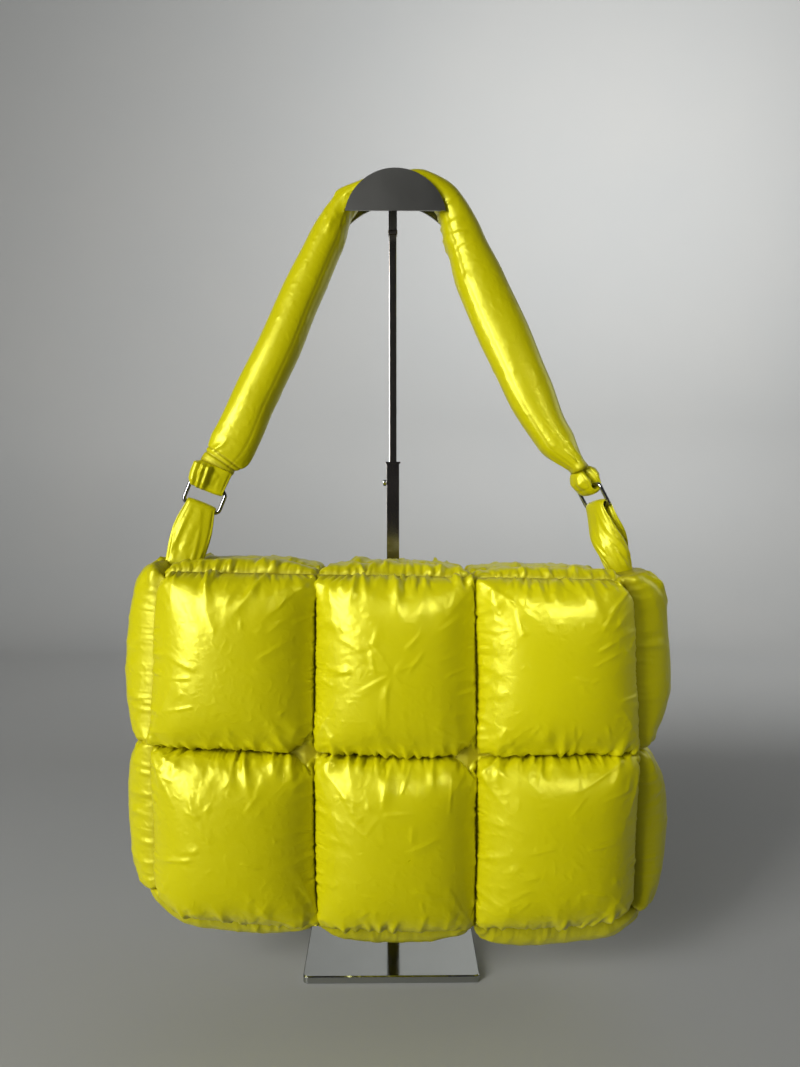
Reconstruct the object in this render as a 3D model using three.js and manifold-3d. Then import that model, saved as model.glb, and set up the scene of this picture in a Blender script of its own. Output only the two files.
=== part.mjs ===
// A quilted pillow bag that hangs by its padded strap on a plain display stand.
// Millimetres, +Z up. The bag's front faces -Y. The origin is the middle of the stand's underside.

import * as THREE from "three";
import { mergeVertices } from "three/addons/utils/BufferGeometryUtils.js";
import Module from "manifold-3d";

const wasm = await Module();
wasm.setup();

// Clearance that neighbouring pieces keep, and the thickness of stitched cloth at a seam.
const GAP = 0.3;
const SEAM = 2.4;

// The bag between its seams, before it hangs. x, y and z place its bottom middle.
const BAG = {
  width: 325,
  height: 238,
  depth: 86,
  x: 3,
  y: -47.5,
  z: 69,
  columns: 3,
  rows: 2,
};

// Radii of the outline's corners. past is the length of the bottom strip beyond a lower corner's middle.
const CORNERS = {
  top: { left: 15, right: 17 },
  bottom: { left: 28, right: 20 },
  past: { left: 11, right: 4 },
};

// How the hanging bag departs from a plain box: bowed sides, a wider foot, a sagging bottom,
// a lower right side and a top that drops towards the back.
const HANG = { sideBow: 4.5, footSpread: 2.7, bottomSag: 9.5, rightDrop: 3.2, backDrop: 6 };

// The mouth between the lips is wide in the middle and closes onto the tabs at its ends.
const MOUTH = { half: 8, endHalf: 6.2, taperFrom: 112, taperTo: 133, dip: 3 };

// Puff heights above the seam, one row for each row of puffs.
const FRONT_PUFFS = [
  { row: "lower", left: 22.5, middle: 23, right: 23 },
  { row: "upper", left: 23, middle: 24, right: 23.5 },
];
const BACK_PUFFS = [
  { row: "lower", left: 21, middle: 18.5, right: 21 },
  { row: "upper", left: 21, middle: 18.5, right: 21 },
];
const STRIP_PUFFS = {
  left: { lower: 24, upper: 28 },
  right: { lower: 28.5, upper: 32 },
  bottom: { left: 24, middle: 23, right: 29 },
  lip: { left: 7.5, middle: 6.5, right: 5.5 },
};

// How far each strip stays puffed up at its two ends, as a share of its crown.
const ENDS = {
  side: { start: 0.5, end: 0.72 },
  bottom: { start: 0.4, end: 0.4 },
  lip: { start: 0.6, end: 0.6 },
};

// Shape of every puff: steep shoulders, a shallower lining side, and gathers that fade away from the seams.
const PUFF = {
  shoulder: 0.45,
  liningPower: 3,
  liningPart: 0.3,
  crowding: 0.55,
  gatherHeight: 1.5,
  gatherReach: 20,
  gatherRise: 3,
};

// Facets along and across one puff outside, and how many of them share one facet of the lining.
const FACETS = { panel: 12, stripAlong: 12, stripAcross: 9, lipAcross: 6, liningShare: 3 };

// The wire rings and the cloth loops that hold them.
const RING = { width: 30, height: 20, wire: 3, corner: 5, cornerSteps: 4, wireSides: 6 };
const LOOP = {
  clearance: 0.4,
  turnThickness: 2.6,
  turnSteps: 8,
  legSteps: 5,
  sides: 10,
  roundness: 0.6,
  swell: 0.3,
  spreadFrom: 0.45,
  spreadOver: 0.5,
};

// Ring middles in space. lean is the angle from upright towards the saddle, turn the ring's turn
// out of the front.
const HOLDERS = [
  { side: "left", x: -136.6, y: -39.5, z: 359, lean: 23, turn: 8 },
  { side: "right", x: 149.3, y: -39.5, z: 359, lean: -28, turn: -66 },
];

// Clearance under a tab's foot, where the warped seat is not quite flat.
const SEAT_GAP = 1;

// Each tab's seat along the slanting end of the side strip, its slant there, and its widths at the foot,
// halfway and at the ring.
const TABS = [
  { side: "left", seat: 1, slant: -45, foot: 26, half: 30, ring: 22, thick: 4.4 },
  { side: "right", seat: 14, slant: 45, foot: 16, half: 24, ring: 22, thick: 4.4 },
];

// Each strap loop: its reach from the ring bar to the strap's end, its widths at the bar and at the strap,
// and the strap's own end there. face is the size seen from the front, deep the size from front to back.
const STRAP_LOOPS = [
  { side: "left", reach: 16, bar: 23, strap: 25, thick: 4.4, face: 26, deep: 13 },
  { side: "right", reach: 14, bar: 22, strap: 20, thick: 4.4, face: 13, deep: 24 },
];

// The strap between its ends, from the left over the saddle to the right.
const STRAP = [
  { place: "left end puff", x: -115.4, y: -35.5, z: 399, face: 34.5, deep: 21 },
  { place: "left low", x: -100.9, y: -30.5, z: 431, face: 33.5, deep: 27 },
  { place: "left middle", x: -83.8, y: -23.5, z: 468, face: 32.8, deep: 30 },
  { place: "left high", x: -67.4, y: -14.5, z: 508, face: 31, deep: 32 },
  { place: "left of saddle", x: -49.8, y: -5.5, z: 549, face: 28, deep: 32 },
  { place: "saddle left", x: -35.1, y: -0.3, z: 579, face: 19.6, deep: 32 },
  { place: "saddle left top", x: -17.2, y: 0.2, z: 591.8, face: 11.5, deep: 34 },
  { place: "saddle top", x: 3.5, y: 0.2, z: 596.5, face: 10, deep: 34 },
  { place: "saddle right top", x: 24.8, y: 0.2, z: 595, face: 17.4, deep: 34 },
  { place: "saddle right", x: 44, y: -0.3, z: 580.6, face: 23.4, deep: 32 },
  { place: "right of saddle", x: 56.2, y: -5.5, z: 551, face: 31, deep: 32 },
  { place: "right high", x: 67.8, y: -14.5, z: 518, face: 37.4, deep: 30 },
  { place: "right middle", x: 82.9, y: -22.5, z: 483, face: 38.6, deep: 27 },
  { place: "right low", x: 100.8, y: -30.5, z: 440, face: 35.6, deep: 28 },
  { place: "right end puff", x: 120.4, y: -34.5, z: 402, face: 28.4, deep: 29 },
];
const STRAP_SKIN = { along: 42, around: 12, roundness: 0.8 };

// The stand. Its post runs behind the bag, and the saddle reaches forwards from the post's head.
const PLATE = { size: 131, thickness: 6, corner: 4, edge: 0.8, cornerSteps: 4 };
const POST = { x: 1.6, y: 23.5, outer: 10, top: 385, rimWidth: 12, rimHeight: 1.6 };
const ROD = { size: 5.9, foot: 263, top: 567, collarSize: 7.4, collarHeight: 3.5 };
const SCREW = { z: 368, shank: 1.5, head: 2.7, headHeight: 2.6, sides: 12 };
const SADDLE = {
  x: 3.5,
  centreZ: 562.5,
  plateRadius: 38,
  chordZ: 569.8,
  sheetRadius: 28.5,
  sheetFootZ: 582,
  sheetThickness: 1.5,
  plateThickness: 1.5,
  front: -19.8,
  rear: 20.2,
  archRadius: 51,
  archFootZ: 570.5,
  archDepth: 36.4,
  stemSize: 6.6,
  stemTop: 593,
  plateFacets: 28,
  archFacets: 24,
  sheetFacets: 20,
};

const COLOURS = { nylon: 0xc3be00, steel: 0xb9bcc0 };

// Steps for the direction of a rim, and the distance within which points are one.
const RIM_STEP = 0.01;
const MERGE = 1e-4;

const UP = new THREE.Vector3(0, 0, 1);
const REAR = new THREE.Vector3(0, 1, 0);
const RIGHT = new THREE.Vector3(1, 0, 0);

const clamp01 = (value) => Math.min(1, Math.max(0, value));
const smooth = (value) => {
  const t = clamp01(value);
  return t * t * (3 - 2 * t);
};
const mix = (from, to, part) => from + (to - from) * part;

// A mesh of one named piece with its own plain material.
function piece(name, geometry, colour, metalness = 0) {
  const material = new THREE.MeshStandardMaterial({ color: colour, metalness, roughness: 0.4 });
  const mesh = new THREE.Mesh(geometry, material);
  mesh.name = name;
  return mesh;
}

// Geometry from points and triangles, turned so that its faces look outwards.
function closedGeometry(points, triangles) {
  let volume = 0;
  for (const [a, b, c] of triangles) {
    volume += points[a].dot(points[b].clone().cross(points[c]));
  }
  const facing = volume < 0 ? triangles.map(([a, b, c]) => [a, c, b]) : triangles;
  const geometry = new THREE.BufferGeometry();
  const positions = points.flatMap((point) => point.toArray());
  geometry.setAttribute("position", new THREE.Float32BufferAttribute(positions, 3));
  geometry.setIndex(facing.flat());
  geometry.computeVertexNormals();
  return geometry;
}

// Where a point of the plain box comes to lie when the bag hangs.
function hang(point) {
  const height = point.z / BAG.height;
  const side = point.x / (BAG.width / 2);
  const bow = HANG.sideBow * Math.sin(Math.PI * clamp01(height)) + HANG.footSpread * (1 - 2 * height);
  const sag = HANG.bottomSag * (1 - height) * Math.cos((Math.PI / 2) * Math.min(1, Math.abs(side)));
  const drop = HANG.rightDrop * side + HANG.backDrop * height * (0.5 + point.y / BAG.depth);
  return new THREE.Vector3(BAG.x + point.x + bow * side, BAG.y + point.y, BAG.z + point.z - sag - drop);
}

// A place on the front outline, with its rounded corners. across and up run from 0 to 1.
function outline(across, up) {
  const x = (across - 0.5) * BAG.width;
  const z = (up - 0.5) * BAG.height;
  const corners = up < 0.5 ? CORNERS.bottom : CORNERS.top;
  const corner = x < 0 ? corners.left : corners.right;
  const inX = (Math.abs(x) - BAG.width / 2 + corner) / corner;
  const inZ = (Math.abs(z) - BAG.height / 2 + corner) / corner;
  if (inX <= 0 || inZ <= 0) {
    return { x, z: z + BAG.height / 2 };
  }
  const roundX = inX * Math.sqrt(1 - (inZ * inZ) / 2);
  const roundZ = inZ * Math.sqrt(1 - (inX * inX) / 2);
  return {
    x: Math.sign(x) * (BAG.width / 2 + corner * (roundX - 1)),
    z: Math.sign(z) * (BAG.height / 2 + corner * (roundZ - 1)) + BAG.height / 2,
  };
}

// The rim of the top or bottom strip, past the corners' middles by the given lengths.
// column runs from 0 to 3.
function levelRim(column, up, past) {
  const third = BAG.width / BAG.columns;
  const ends = [-past.left, third, 2 * third, BAG.width + past.right];
  const cell = THREE.MathUtils.clamp(Math.floor(column), 0, BAG.columns - 1);
  const along = mix(ends[cell], ends[cell + 1], column - cell);
  const turn = (beyond) => (up === 0 ? beyond / BAG.height : 1 - beyond / BAG.height);
  if (along < 0) {
    return outline(0, turn(-along));
  }
  if (along > BAG.width) {
    return outline(1, turn(along - BAG.width));
  }
  return outline(along / BAG.width, up);
}

// The rim of a side strip, from the bottom strip to the middle of the upper corner. row runs from 0 to 2.
function sideRim(row, across) {
  const past = across === 0 ? CORNERS.past.left : CORNERS.past.right;
  const ends = [past / BAG.height, 0.5, 1];
  const cell = THREE.MathUtils.clamp(Math.floor(row), 0, BAG.rows - 1);
  return outline(across, mix(ends[cell], ends[cell + 1], row - cell));
}

// Outward direction of a rim that is walked along by one parameter.
function rimOutward(rim, at) {
  const before = rim(at - RIM_STEP);
  const after = rim(at + RIM_STEP);
  const direction = new THREE.Vector3(after.z - before.z, 0, before.x - after.x).normalize();
  const here = rim(at);
  const fromMiddle = new THREE.Vector3(here.x, 0, here.z - BAG.height / 2);
  return direction.dot(fromMiddle) < 0 ? direction.negate() : direction;
}

// Places along a row of puffs, crowded towards the seams where the slope is steep.
function crowded(cells, facets) {
  const places = [];
  for (let i = 0; i <= cells * facets; i += 1) {
    const cell = Math.min(cells - 1, Math.floor(i / facets));
    const part = i / facets - cell;
    places.push(cell + part - (PUFF.crowding * Math.sin(2 * Math.PI * part)) / (2 * Math.PI));
  }
  return places;
}

// Height of a puff as a share of its crown between two seams. An open end keeps that share of the height.
function dome(part, power, openStart = 0, openEnd = 0) {
  const from = Math.asin(Math.pow(openStart, 1 / power));
  const to = Math.PI - Math.asin(Math.pow(openEnd, 1 / power));
  return Math.pow(Math.max(0, Math.sin(mix(from, to, part))), power);
}

// Gathers stand across the seams, highest beside the seam, and fade with the distance from it.
function gather(index, seamDistance) {
  const fade = seamDistance <= 0 ? 0 : Math.exp(-seamDistance / PUFF.gatherReach);
  return (index % 2 === 0 ? 1 : -1) * PUFF.gatherHeight * fade;
}

// A grid of points over a panel, given the place and the lift of each.
function gridPoints(us, vs, lifted) {
  return us.map((u, i) => vs.map((v, j) => lifted(u, v, i, j)));
}

// A padded panel: a puffed outer skin, a flatter lining and the thin stitched rim between them.
function paddedPanel({ columns, rows, facetsU, facetsV, place, crown, sizeU, sizeV, ends }) {
  const outerU = crowded(columns, facetsU);
  const outerV = crowded(rows, facetsV);
  const share = FACETS.liningShare;
  const innerU = outerU.filter((_, i) => i % share === 0);
  const innerV = outerV.filter((_, j) => j % share === 0);
  const cellOf = (value, cells) => Math.min(cells - 1, Math.floor(value));

  const outerPoint = (u, v, i, j) => {
    const column = cellOf(u, columns);
    const row = cellOf(v, rows);
    const [partU, partV] = [u - column, v - row];
    const openStart = column === 0 ? ends.start : 0;
    const openEnd = column === columns - 1 ? ends.end : 0;
    const puffed = dome(partU, PUFF.shoulder, openStart, openEnd) * dome(partV, PUFF.shoulder);
    const acrossU = Math.min(partU, 1 - partU) * sizeU;
    const acrossV = Math.min(partV, 1 - partV) * sizeV;
    const ridges = (gather(i, acrossV) + gather(j, acrossU)) * Math.min(1, PUFF.gatherRise * puffed);
    const { point, outward } = place(u, v);
    return hang(point.addScaledVector(outward, SEAM + crown(column, row) * puffed + ridges));
  };
  const innerPoint = (u, v) => {
    const column = cellOf(u, columns);
    const row = cellOf(v, rows);
    const puffed = dome(u - column, PUFF.liningPower) * dome(v - row, PUFF.liningPower);
    const { point, outward } = place(u, v);
    return hang(point.addScaledVector(outward, -PUFF.liningPart * crown(column, row) * puffed));
  };

  const points = [];
  const numbered = (grid) => grid.map((line) => line.map((p) => points.push(p) - 1));
  const outer = numbered(gridPoints(outerU, outerV, outerPoint));
  const inner = numbered(gridPoints(innerU, innerV, innerPoint));
  const triangles = [];
  const skin = (grid, flip) => {
    for (let i = 0; i + 1 < grid.length; i += 1) {
      for (let j = 0; j + 1 < grid[0].length; j += 1) {
        const [a, b, c, d] = [grid[i][j], grid[i + 1][j], grid[i + 1][j + 1], grid[i][j + 1]];
        triangles.push(flip ? [a, c, b] : [a, b, c], flip ? [a, d, c] : [a, c, d]);
      }
    }
  };
  skin(outer, false);
  skin(inner, true);

  const around = (grid) => {
    const [last, end] = [grid.length - 1, grid[0].length - 1];
    const bottom = grid.slice(0, last).map((line) => line[0]);
    const right = grid[last].slice(0, end);
    const top = grid.slice(1).reverse().map((line) => line[end]);
    const left = grid[0].slice(1).reverse();
    return [...bottom, ...right, ...top, ...left];
  };
  const outerRim = around(outer);
  const innerRim = around(inner);
  innerRim.forEach((start, k) => {
    const next = innerRim[(k + 1) % innerRim.length];
    for (let s = 0; s < share; s += 1) {
      const from = outerRim[k * share + s];
      const to = outerRim[(k * share + s + 1) % outerRim.length];
      triangles.push([from, start, to]);
    }
    triangles.push([outerRim[((k + 1) * share) % outerRim.length], start, next]);
  });
  return closedGeometry(points, triangles);
}

// The front or back panel. facing is -1 for the front, 1 for the back.
function quiltedPanel(puffs, facing) {
  return paddedPanel({
    columns: BAG.columns,
    rows: BAG.rows,
    facetsU: FACETS.panel,
    facetsV: FACETS.panel,
    sizeU: BAG.width / BAG.columns,
    sizeV: BAG.height / BAG.rows,
    crown: (column, row) => [puffs[row].left, puffs[row].middle, puffs[row].right][column],
    ends: { start: 0, end: 0 },
    place: (u, v) => {
      const { x, z } = outline(u / BAG.columns, v / BAG.rows);
      const point = new THREE.Vector3(x, (facing * BAG.depth) / 2, z);
      return { point, outward: REAR.clone().multiplyScalar(facing) };
    },
  });
}

// A strip along a rim between the two panels. Its outer face is flush with the panels' edges.
function gussetStrip({ rim, crowns, ends, span, facetsV, dip }) {
  const cells = crowns.length;
  const sizeU = cells === BAG.rows ? BAG.height / BAG.rows : BAG.width / BAG.columns;
  const endGap = GAP / 2 / sizeU;
  return paddedPanel({
    columns: cells,
    rows: 1,
    facetsU: FACETS.stripAlong,
    facetsV,
    sizeU,
    sizeV: BAG.depth,
    crown: (column) => crowns[column],
    ends,
    place: (u, v) => {
      const at = mix(endGap, cells - endGap, u / cells);
      const { x, z } = rim(at);
      const outward = rimOutward(rim, at);
      const [from, to] = span(x);
      const point = new THREE.Vector3(x, mix(from, to, v), z);
      return { point: point.addScaledVector(outward, -SEAM - dip * v * v), outward };
    },
  });
}

// Half the mouth's width at a place across the bag.
function mouthHalf(x) {
  const closing = smooth((Math.abs(x) - MOUTH.taperFrom) / (MOUTH.taperTo - MOUTH.taperFrom));
  return mix(MOUTH.half, MOUTH.endHalf, closing);
}

// A closed skin through rings of points. Each station gives a middle and its two half sizes as vectors.
function loft(stations, sides, endless = false, roundness = 1) {
  const points = [];
  const squared = (value) => Math.sign(value) * Math.pow(Math.abs(value), roundness);
  for (const { middle, wide, thick } of stations) {
    for (let k = 0; k < sides; k += 1) {
      const angle = (2 * Math.PI * (k + 0.5)) / sides;
      const at = middle.clone().addScaledVector(wide, squared(Math.cos(angle)));
      points.push(at.addScaledVector(thick, squared(Math.sin(angle))));
    }
  }
  const triangles = [];
  const count = stations.length;
  const spans = endless ? count : count - 1;
  for (let i = 0; i < spans; i += 1) {
    for (let k = 0; k < sides; k += 1) {
      const [a, b] = [i * sides + k, i * sides + ((k + 1) % sides)];
      const ahead = ((i + 1) % count) * sides;
      const [c, d] = [ahead + ((k + 1) % sides), ahead + k];
      triangles.push([a, b, c], [a, c, d]);
    }
  }
  if (!endless) {
    const cap = (start, flip) => {
      for (let k = 1; k + 1 < sides; k += 1) {
        triangles.push(flip ? [start, start + k + 1, start + k] : [start, start + k, start + k + 1]);
      }
    };
    cap(0, true);
    cap((count - 1) * sides, false);
  }
  return closedGeometry(points, triangles);
}

// Axes of a ring: wide along its long bars, along from the tab's bar to the strap's bar, through its plane.
function ringAxes({ lean, turn }) {
  const along = UP.clone().applyAxisAngle(REAR, THREE.MathUtils.degToRad(lean));
  const wide = RIGHT.clone().applyAxisAngle(REAR, THREE.MathUtils.degToRad(lean));
  wide.applyAxisAngle(along, THREE.MathUtils.degToRad(turn));
  return { along, wide, through: along.clone().cross(wide) };
}

// Middle of the ring's bar nearer to the tab (-1) or to the strap (1).
function barMiddle(holder, end) {
  const { along } = ringAxes(holder);
  const middle = new THREE.Vector3(holder.x, holder.y, holder.z);
  return middle.addScaledVector(along, (end * (RING.height - RING.wire)) / 2);
}

// A rounded rectangular ring of round wire.
function wireRing(holder) {
  const { along, wide, through } = ringAxes(holder);
  const middle = new THREE.Vector3(holder.x, holder.y, holder.z);
  const corner = RING.corner - RING.wire / 2;
  const halfW = (RING.width - RING.wire) / 2 - corner;
  const halfH = (RING.height - RING.wire) / 2 - corner;
  const corners = [
    { w: halfW, h: halfH, start: 0 },
    { w: -halfW, h: halfH, start: Math.PI / 2 },
    { w: -halfW, h: -halfH, start: Math.PI },
    { w: halfW, h: -halfH, start: 1.5 * Math.PI },
  ];
  const stations = [];
  for (const { w, h, start } of corners) {
    for (let k = 0; k <= RING.cornerSteps; k += 1) {
      const angle = start + (Math.PI / 2) * (k / RING.cornerSteps);
      const radial = wide.clone().multiplyScalar(Math.cos(angle)).addScaledVector(along, Math.sin(angle));
      const at = middle.clone().addScaledVector(wide, w).addScaledVector(along, h);
      stations.push({
        middle: at.addScaledVector(radial, corner),
        wide: radial.multiplyScalar(RING.wire / 2),
        thick: through.clone().multiplyScalar(RING.wire / 2),
      });
    }
  }
  return loft(stations, RING.wireSides, true);
}

// A cloth strip folded round a ring's bar. Both its legs run from the fold to the far end.
function foldedLoop({ bar, far, barWide, farWide, widths, thick }) {
  const axis = bar.clone().sub(far).normalize();
  const turnRadius = RING.wire / 2 + LOOP.clearance + LOOP.turnThickness / 2;
  const widthAt = (part) => {
    const [end, half, ring] = widths;
    return part < 0.5 ? mix(end, half, 2 * part) : mix(half, ring, 2 * part - 1);
  };
  const frameAt = (part) => {
    const wide = farWide.clone().lerp(barWide, smooth(part)).normalize();
    const along = axis.clone().addScaledVector(wide, -axis.dot(wide)).normalize();
    return { wide, along, front: wide.clone().cross(along) };
  };
  const station = (middle, radial, wide, width, thickness) => ({
    middle,
    wide: wide.clone().multiplyScalar(width / 2),
    thick: radial.clone().multiplyScalar(thickness / 2),
  });

  const leg = (side) => {
    const stations = [];
    for (let k = 0; k < LOOP.legSteps; k += 1) {
      const part = k / LOOP.legSteps;
      const { wide, front } = frameAt(part);
      const radial = front.multiplyScalar(side);
      const swell = 1 + LOOP.swell * Math.sin(Math.PI * part);
      const thickness = mix(thick, LOOP.turnThickness, smooth(part)) * swell;
      const flat = thickness / 2 + GAP / 2;
      const spread = smooth((part - LOOP.spreadFrom) / LOOP.spreadOver);
      const offset = mix(flat, Math.max(turnRadius, flat), spread);
      const middle = far.clone().lerp(bar, part).addScaledVector(radial, offset);
      stations.push(station(middle, radial, wide, widthAt(part), thickness));
    }
    return stations;
  };
  const turn = [];
  const { wide, along, front } = frameAt(1);
  for (let k = 0; k <= LOOP.turnSteps; k += 1) {
    const angle = Math.PI * (k / LOOP.turnSteps);
    const radial = front.clone().multiplyScalar(Math.cos(angle)).addScaledVector(along, Math.sin(angle));
    const middle = bar.clone().addScaledVector(radial, turnRadius);
    turn.push(station(middle, radial, wide, widths[2], LOOP.turnThickness));
  }
  return loft([...leg(1), ...turn, ...leg(-1).reverse()], LOOP.sides, false, LOOP.roundness);
}

// The tab from the slanting top end of the side strip to the ring.
function tab(row, holder) {
  const slant = THREE.MathUtils.degToRad(row.slant);
  const farWide = new THREE.Vector3(Math.cos(slant), 0, Math.sin(slant));
  const corner = outline(row.side === "left" ? 0 : 1, 1);
  const seat = new THREE.Vector3(corner.x, 0, corner.z);
  seat.addScaledVector(farWide, Math.sign(slant) * row.seat);
  seat.addScaledVector(new THREE.Vector3(-Math.sin(slant), 0, Math.cos(slant)), SEAT_GAP);
  return foldedLoop({
    bar: barMiddle(holder, -1),
    far: hang(seat),
    barWide: ringAxes(holder).wide,
    farWide,
    widths: [row.foot, row.half, row.ring],
    thick: row.thick,
  });
}

// Where the strap's end meets its loop, straight above the ring's upper bar.
function strapEnd(row, holder) {
  return barMiddle(holder, 1).addScaledVector(ringAxes(holder).along, row.reach);
}

// The loop from the ring to the strap's end.
function strapLoop(row, holder) {
  const { along, wide } = ringAxes(holder);
  return foldedLoop({
    bar: barMiddle(holder, 1),
    far: strapEnd(row, holder).addScaledVector(along, -GAP),
    barWide: wide,
    farWide: wide,
    widths: [row.strap, mix(row.strap, row.bar, 0.5), row.bar],
    thick: row.thick,
  });
}

// The padded strap, swept through its table of places. Each end stands square on its loop.
function paddedStrap() {
  const [leftEnd, rightEnd] = STRAP_LOOPS.map((row, k) => ({ ...row, ...strapEnd(row, HOLDERS[k]) }));
  const rows = [leftEnd, ...STRAP, rightEnd];
  const places = rows.map(({ x, y, z }) => new THREE.Vector3(x, y, z));
  const path = new THREE.CatmullRomCurve3(places, false, "centripetal");
  const stations = [];
  for (let i = 0; i <= STRAP_SKIN.along; i += 1) {
    const at = i / STRAP_SKIN.along;
    const row = Math.min(rows.length - 2, Math.floor(at * (rows.length - 1)));
    const part = smooth(at * (rows.length - 1) - row);
    const face = mix(rows[row].face, rows[row + 1].face, part);
    const deep = mix(rows[row].deep, rows[row + 1].deep, part);
    const tangent = path.getTangent(at);
    if (i === 0 || i === STRAP_SKIN.along) {
      const holder = HOLDERS[i === 0 ? 0 : 1];
      tangent.copy(ringAxes(holder).along).multiplyScalar(i === 0 ? 1 : -1);
    }
    const across = REAR.clone().cross(tangent).normalize();
    const through = tangent.clone().cross(across).normalize();
    stations.push({
      middle: path.getPoint(at),
      wide: across.multiplyScalar(face / 2),
      thick: through.multiplyScalar(deep / 2),
    });
  }
  return loft(stations, STRAP_SKIN.around, false, STRAP_SKIN.roundness);
}

// Solids for joining and cutting, and back to geometry.
function toSolid(geometry) {
  const bare = geometry.clone();
  bare.deleteAttribute("normal");
  bare.deleteAttribute("uv");
  const merged = mergeVertices(bare, MERGE);
  const mesh = new wasm.Mesh({
    numProp: 3,
    vertProperties: Float32Array.from(merged.attributes.position.array),
    triVerts: Uint32Array.from(merged.index.array),
  });
  return new wasm.Manifold(mesh);
}

function toGeometry(solid) {
  const mesh = solid.getMesh();
  const geometry = new THREE.BufferGeometry();
  geometry.setAttribute("position", new THREE.BufferAttribute(Float32Array.from(mesh.vertProperties), 3));
  geometry.setIndex(new THREE.BufferAttribute(Uint32Array.from(mesh.triVerts), 1));
  geometry.computeVertexNormals();
  return geometry;
}

// A rectangle with rounded corners.
function roundedRectangle(width, depth, corner) {
  const [x, y] = [width / 2, depth / 2];
  const shape = new THREE.Shape();
  shape.moveTo(-x + corner, -y);
  shape.lineTo(x - corner, -y);
  shape.absarc(x - corner, -y + corner, corner, -Math.PI / 2, 0);
  shape.lineTo(x, y - corner);
  shape.absarc(x - corner, y - corner, corner, 0, Math.PI / 2);
  shape.lineTo(-x + corner, y);
  shape.absarc(-x + corner, y - corner, corner, Math.PI / 2, Math.PI);
  shape.lineTo(-x, -y + corner);
  shape.absarc(-x + corner, -y + corner, corner, Math.PI, 1.5 * Math.PI);
  return shape;
}

function basePlate() {
  const inside = PLATE.size - 2 * PLATE.edge;
  const shape = roundedRectangle(inside, inside, PLATE.corner - PLATE.edge);
  const geometry = new THREE.ExtrudeGeometry(shape, {
    depth: PLATE.thickness - 2 * PLATE.edge,
    bevelThickness: PLATE.edge,
    bevelSize: PLATE.edge,
    bevelSegments: 1,
    curveSegments: PLATE.cornerSteps,
  });
  return geometry.translate(0, 0, PLATE.edge);
}

function square(size) {
  const half = size / 2;
  const corners = [[-half, -half], [half, -half], [half, half], [-half, half]];
  return corners.map(([x, y]) => new THREE.Vector2(x, y));
}

// An upright square bar or, with a bore, an upright square tube at the post's place.
function uprightSquare(size, bore, bottom, top) {
  const shape = new THREE.Shape(square(size));
  if (bore > 0) {
    shape.holes.push(new THREE.Path(square(bore).reverse()));
  }
  const geometry = new THREE.ExtrudeGeometry(shape, { depth: top - bottom, bevelEnabled: false });
  return geometry.translate(POST.x, POST.y, bottom);
}

function lowerPost() {
  const bore = ROD.size + 2 * GAP;
  const wall = (POST.outer - bore) / 2;
  const tube = toSolid(uprightSquare(POST.outer, bore, PLATE.thickness + GAP, POST.top));
  const rim = toSolid(uprightSquare(POST.rimWidth, bore, POST.top - POST.rimHeight, POST.top));
  const hole = new THREE.CylinderGeometry(SCREW.shank + GAP, SCREW.shank + GAP, 2 * wall, SCREW.sides);
  hole.rotateZ(Math.PI / 2).translate(POST.x - POST.outer / 2 + wall / 2, POST.y, SCREW.z);
  return toGeometry(tube.add(rim).subtract(toSolid(hole)));
}

function upperPost() {
  const rod = toSolid(uprightSquare(ROD.size, 0, ROD.foot, ROD.top));
  const collar = toSolid(uprightSquare(ROD.collarSize, 0, ROD.top - ROD.collarHeight, ROD.top));
  return toGeometry(rod.add(collar));
}

// The screw through the left wall of the tube onto the rod.
function clampScrew() {
  const tip = ROD.size / 2 + GAP;
  const underHead = POST.outer / 2 + GAP;
  const profile = [
    new THREE.Vector2(0, tip),
    new THREE.Vector2(SCREW.shank, tip),
    new THREE.Vector2(SCREW.shank, underHead),
    new THREE.Vector2(SCREW.head, underHead),
    new THREE.Vector2(SCREW.head, underHead + SCREW.headHeight),
    new THREE.Vector2(0, underHead + SCREW.headHeight),
  ];
  const geometry = new THREE.LatheGeometry(profile, SCREW.sides);
  return geometry.rotateZ(Math.PI / 2).translate(POST.x, POST.y, SCREW.z);
}

// A flat shape in the front view, given its thickness towards the rear.
function standingPlate(shape, front, thickness, curveSegments) {
  const settings = { depth: thickness, bevelEnabled: false, curveSegments };
  const geometry = new THREE.ExtrudeGeometry(shape, settings);
  return geometry.rotateX(Math.PI / 2).translate(SADDLE.x, front + thickness, SADDLE.centreZ);
}

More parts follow.
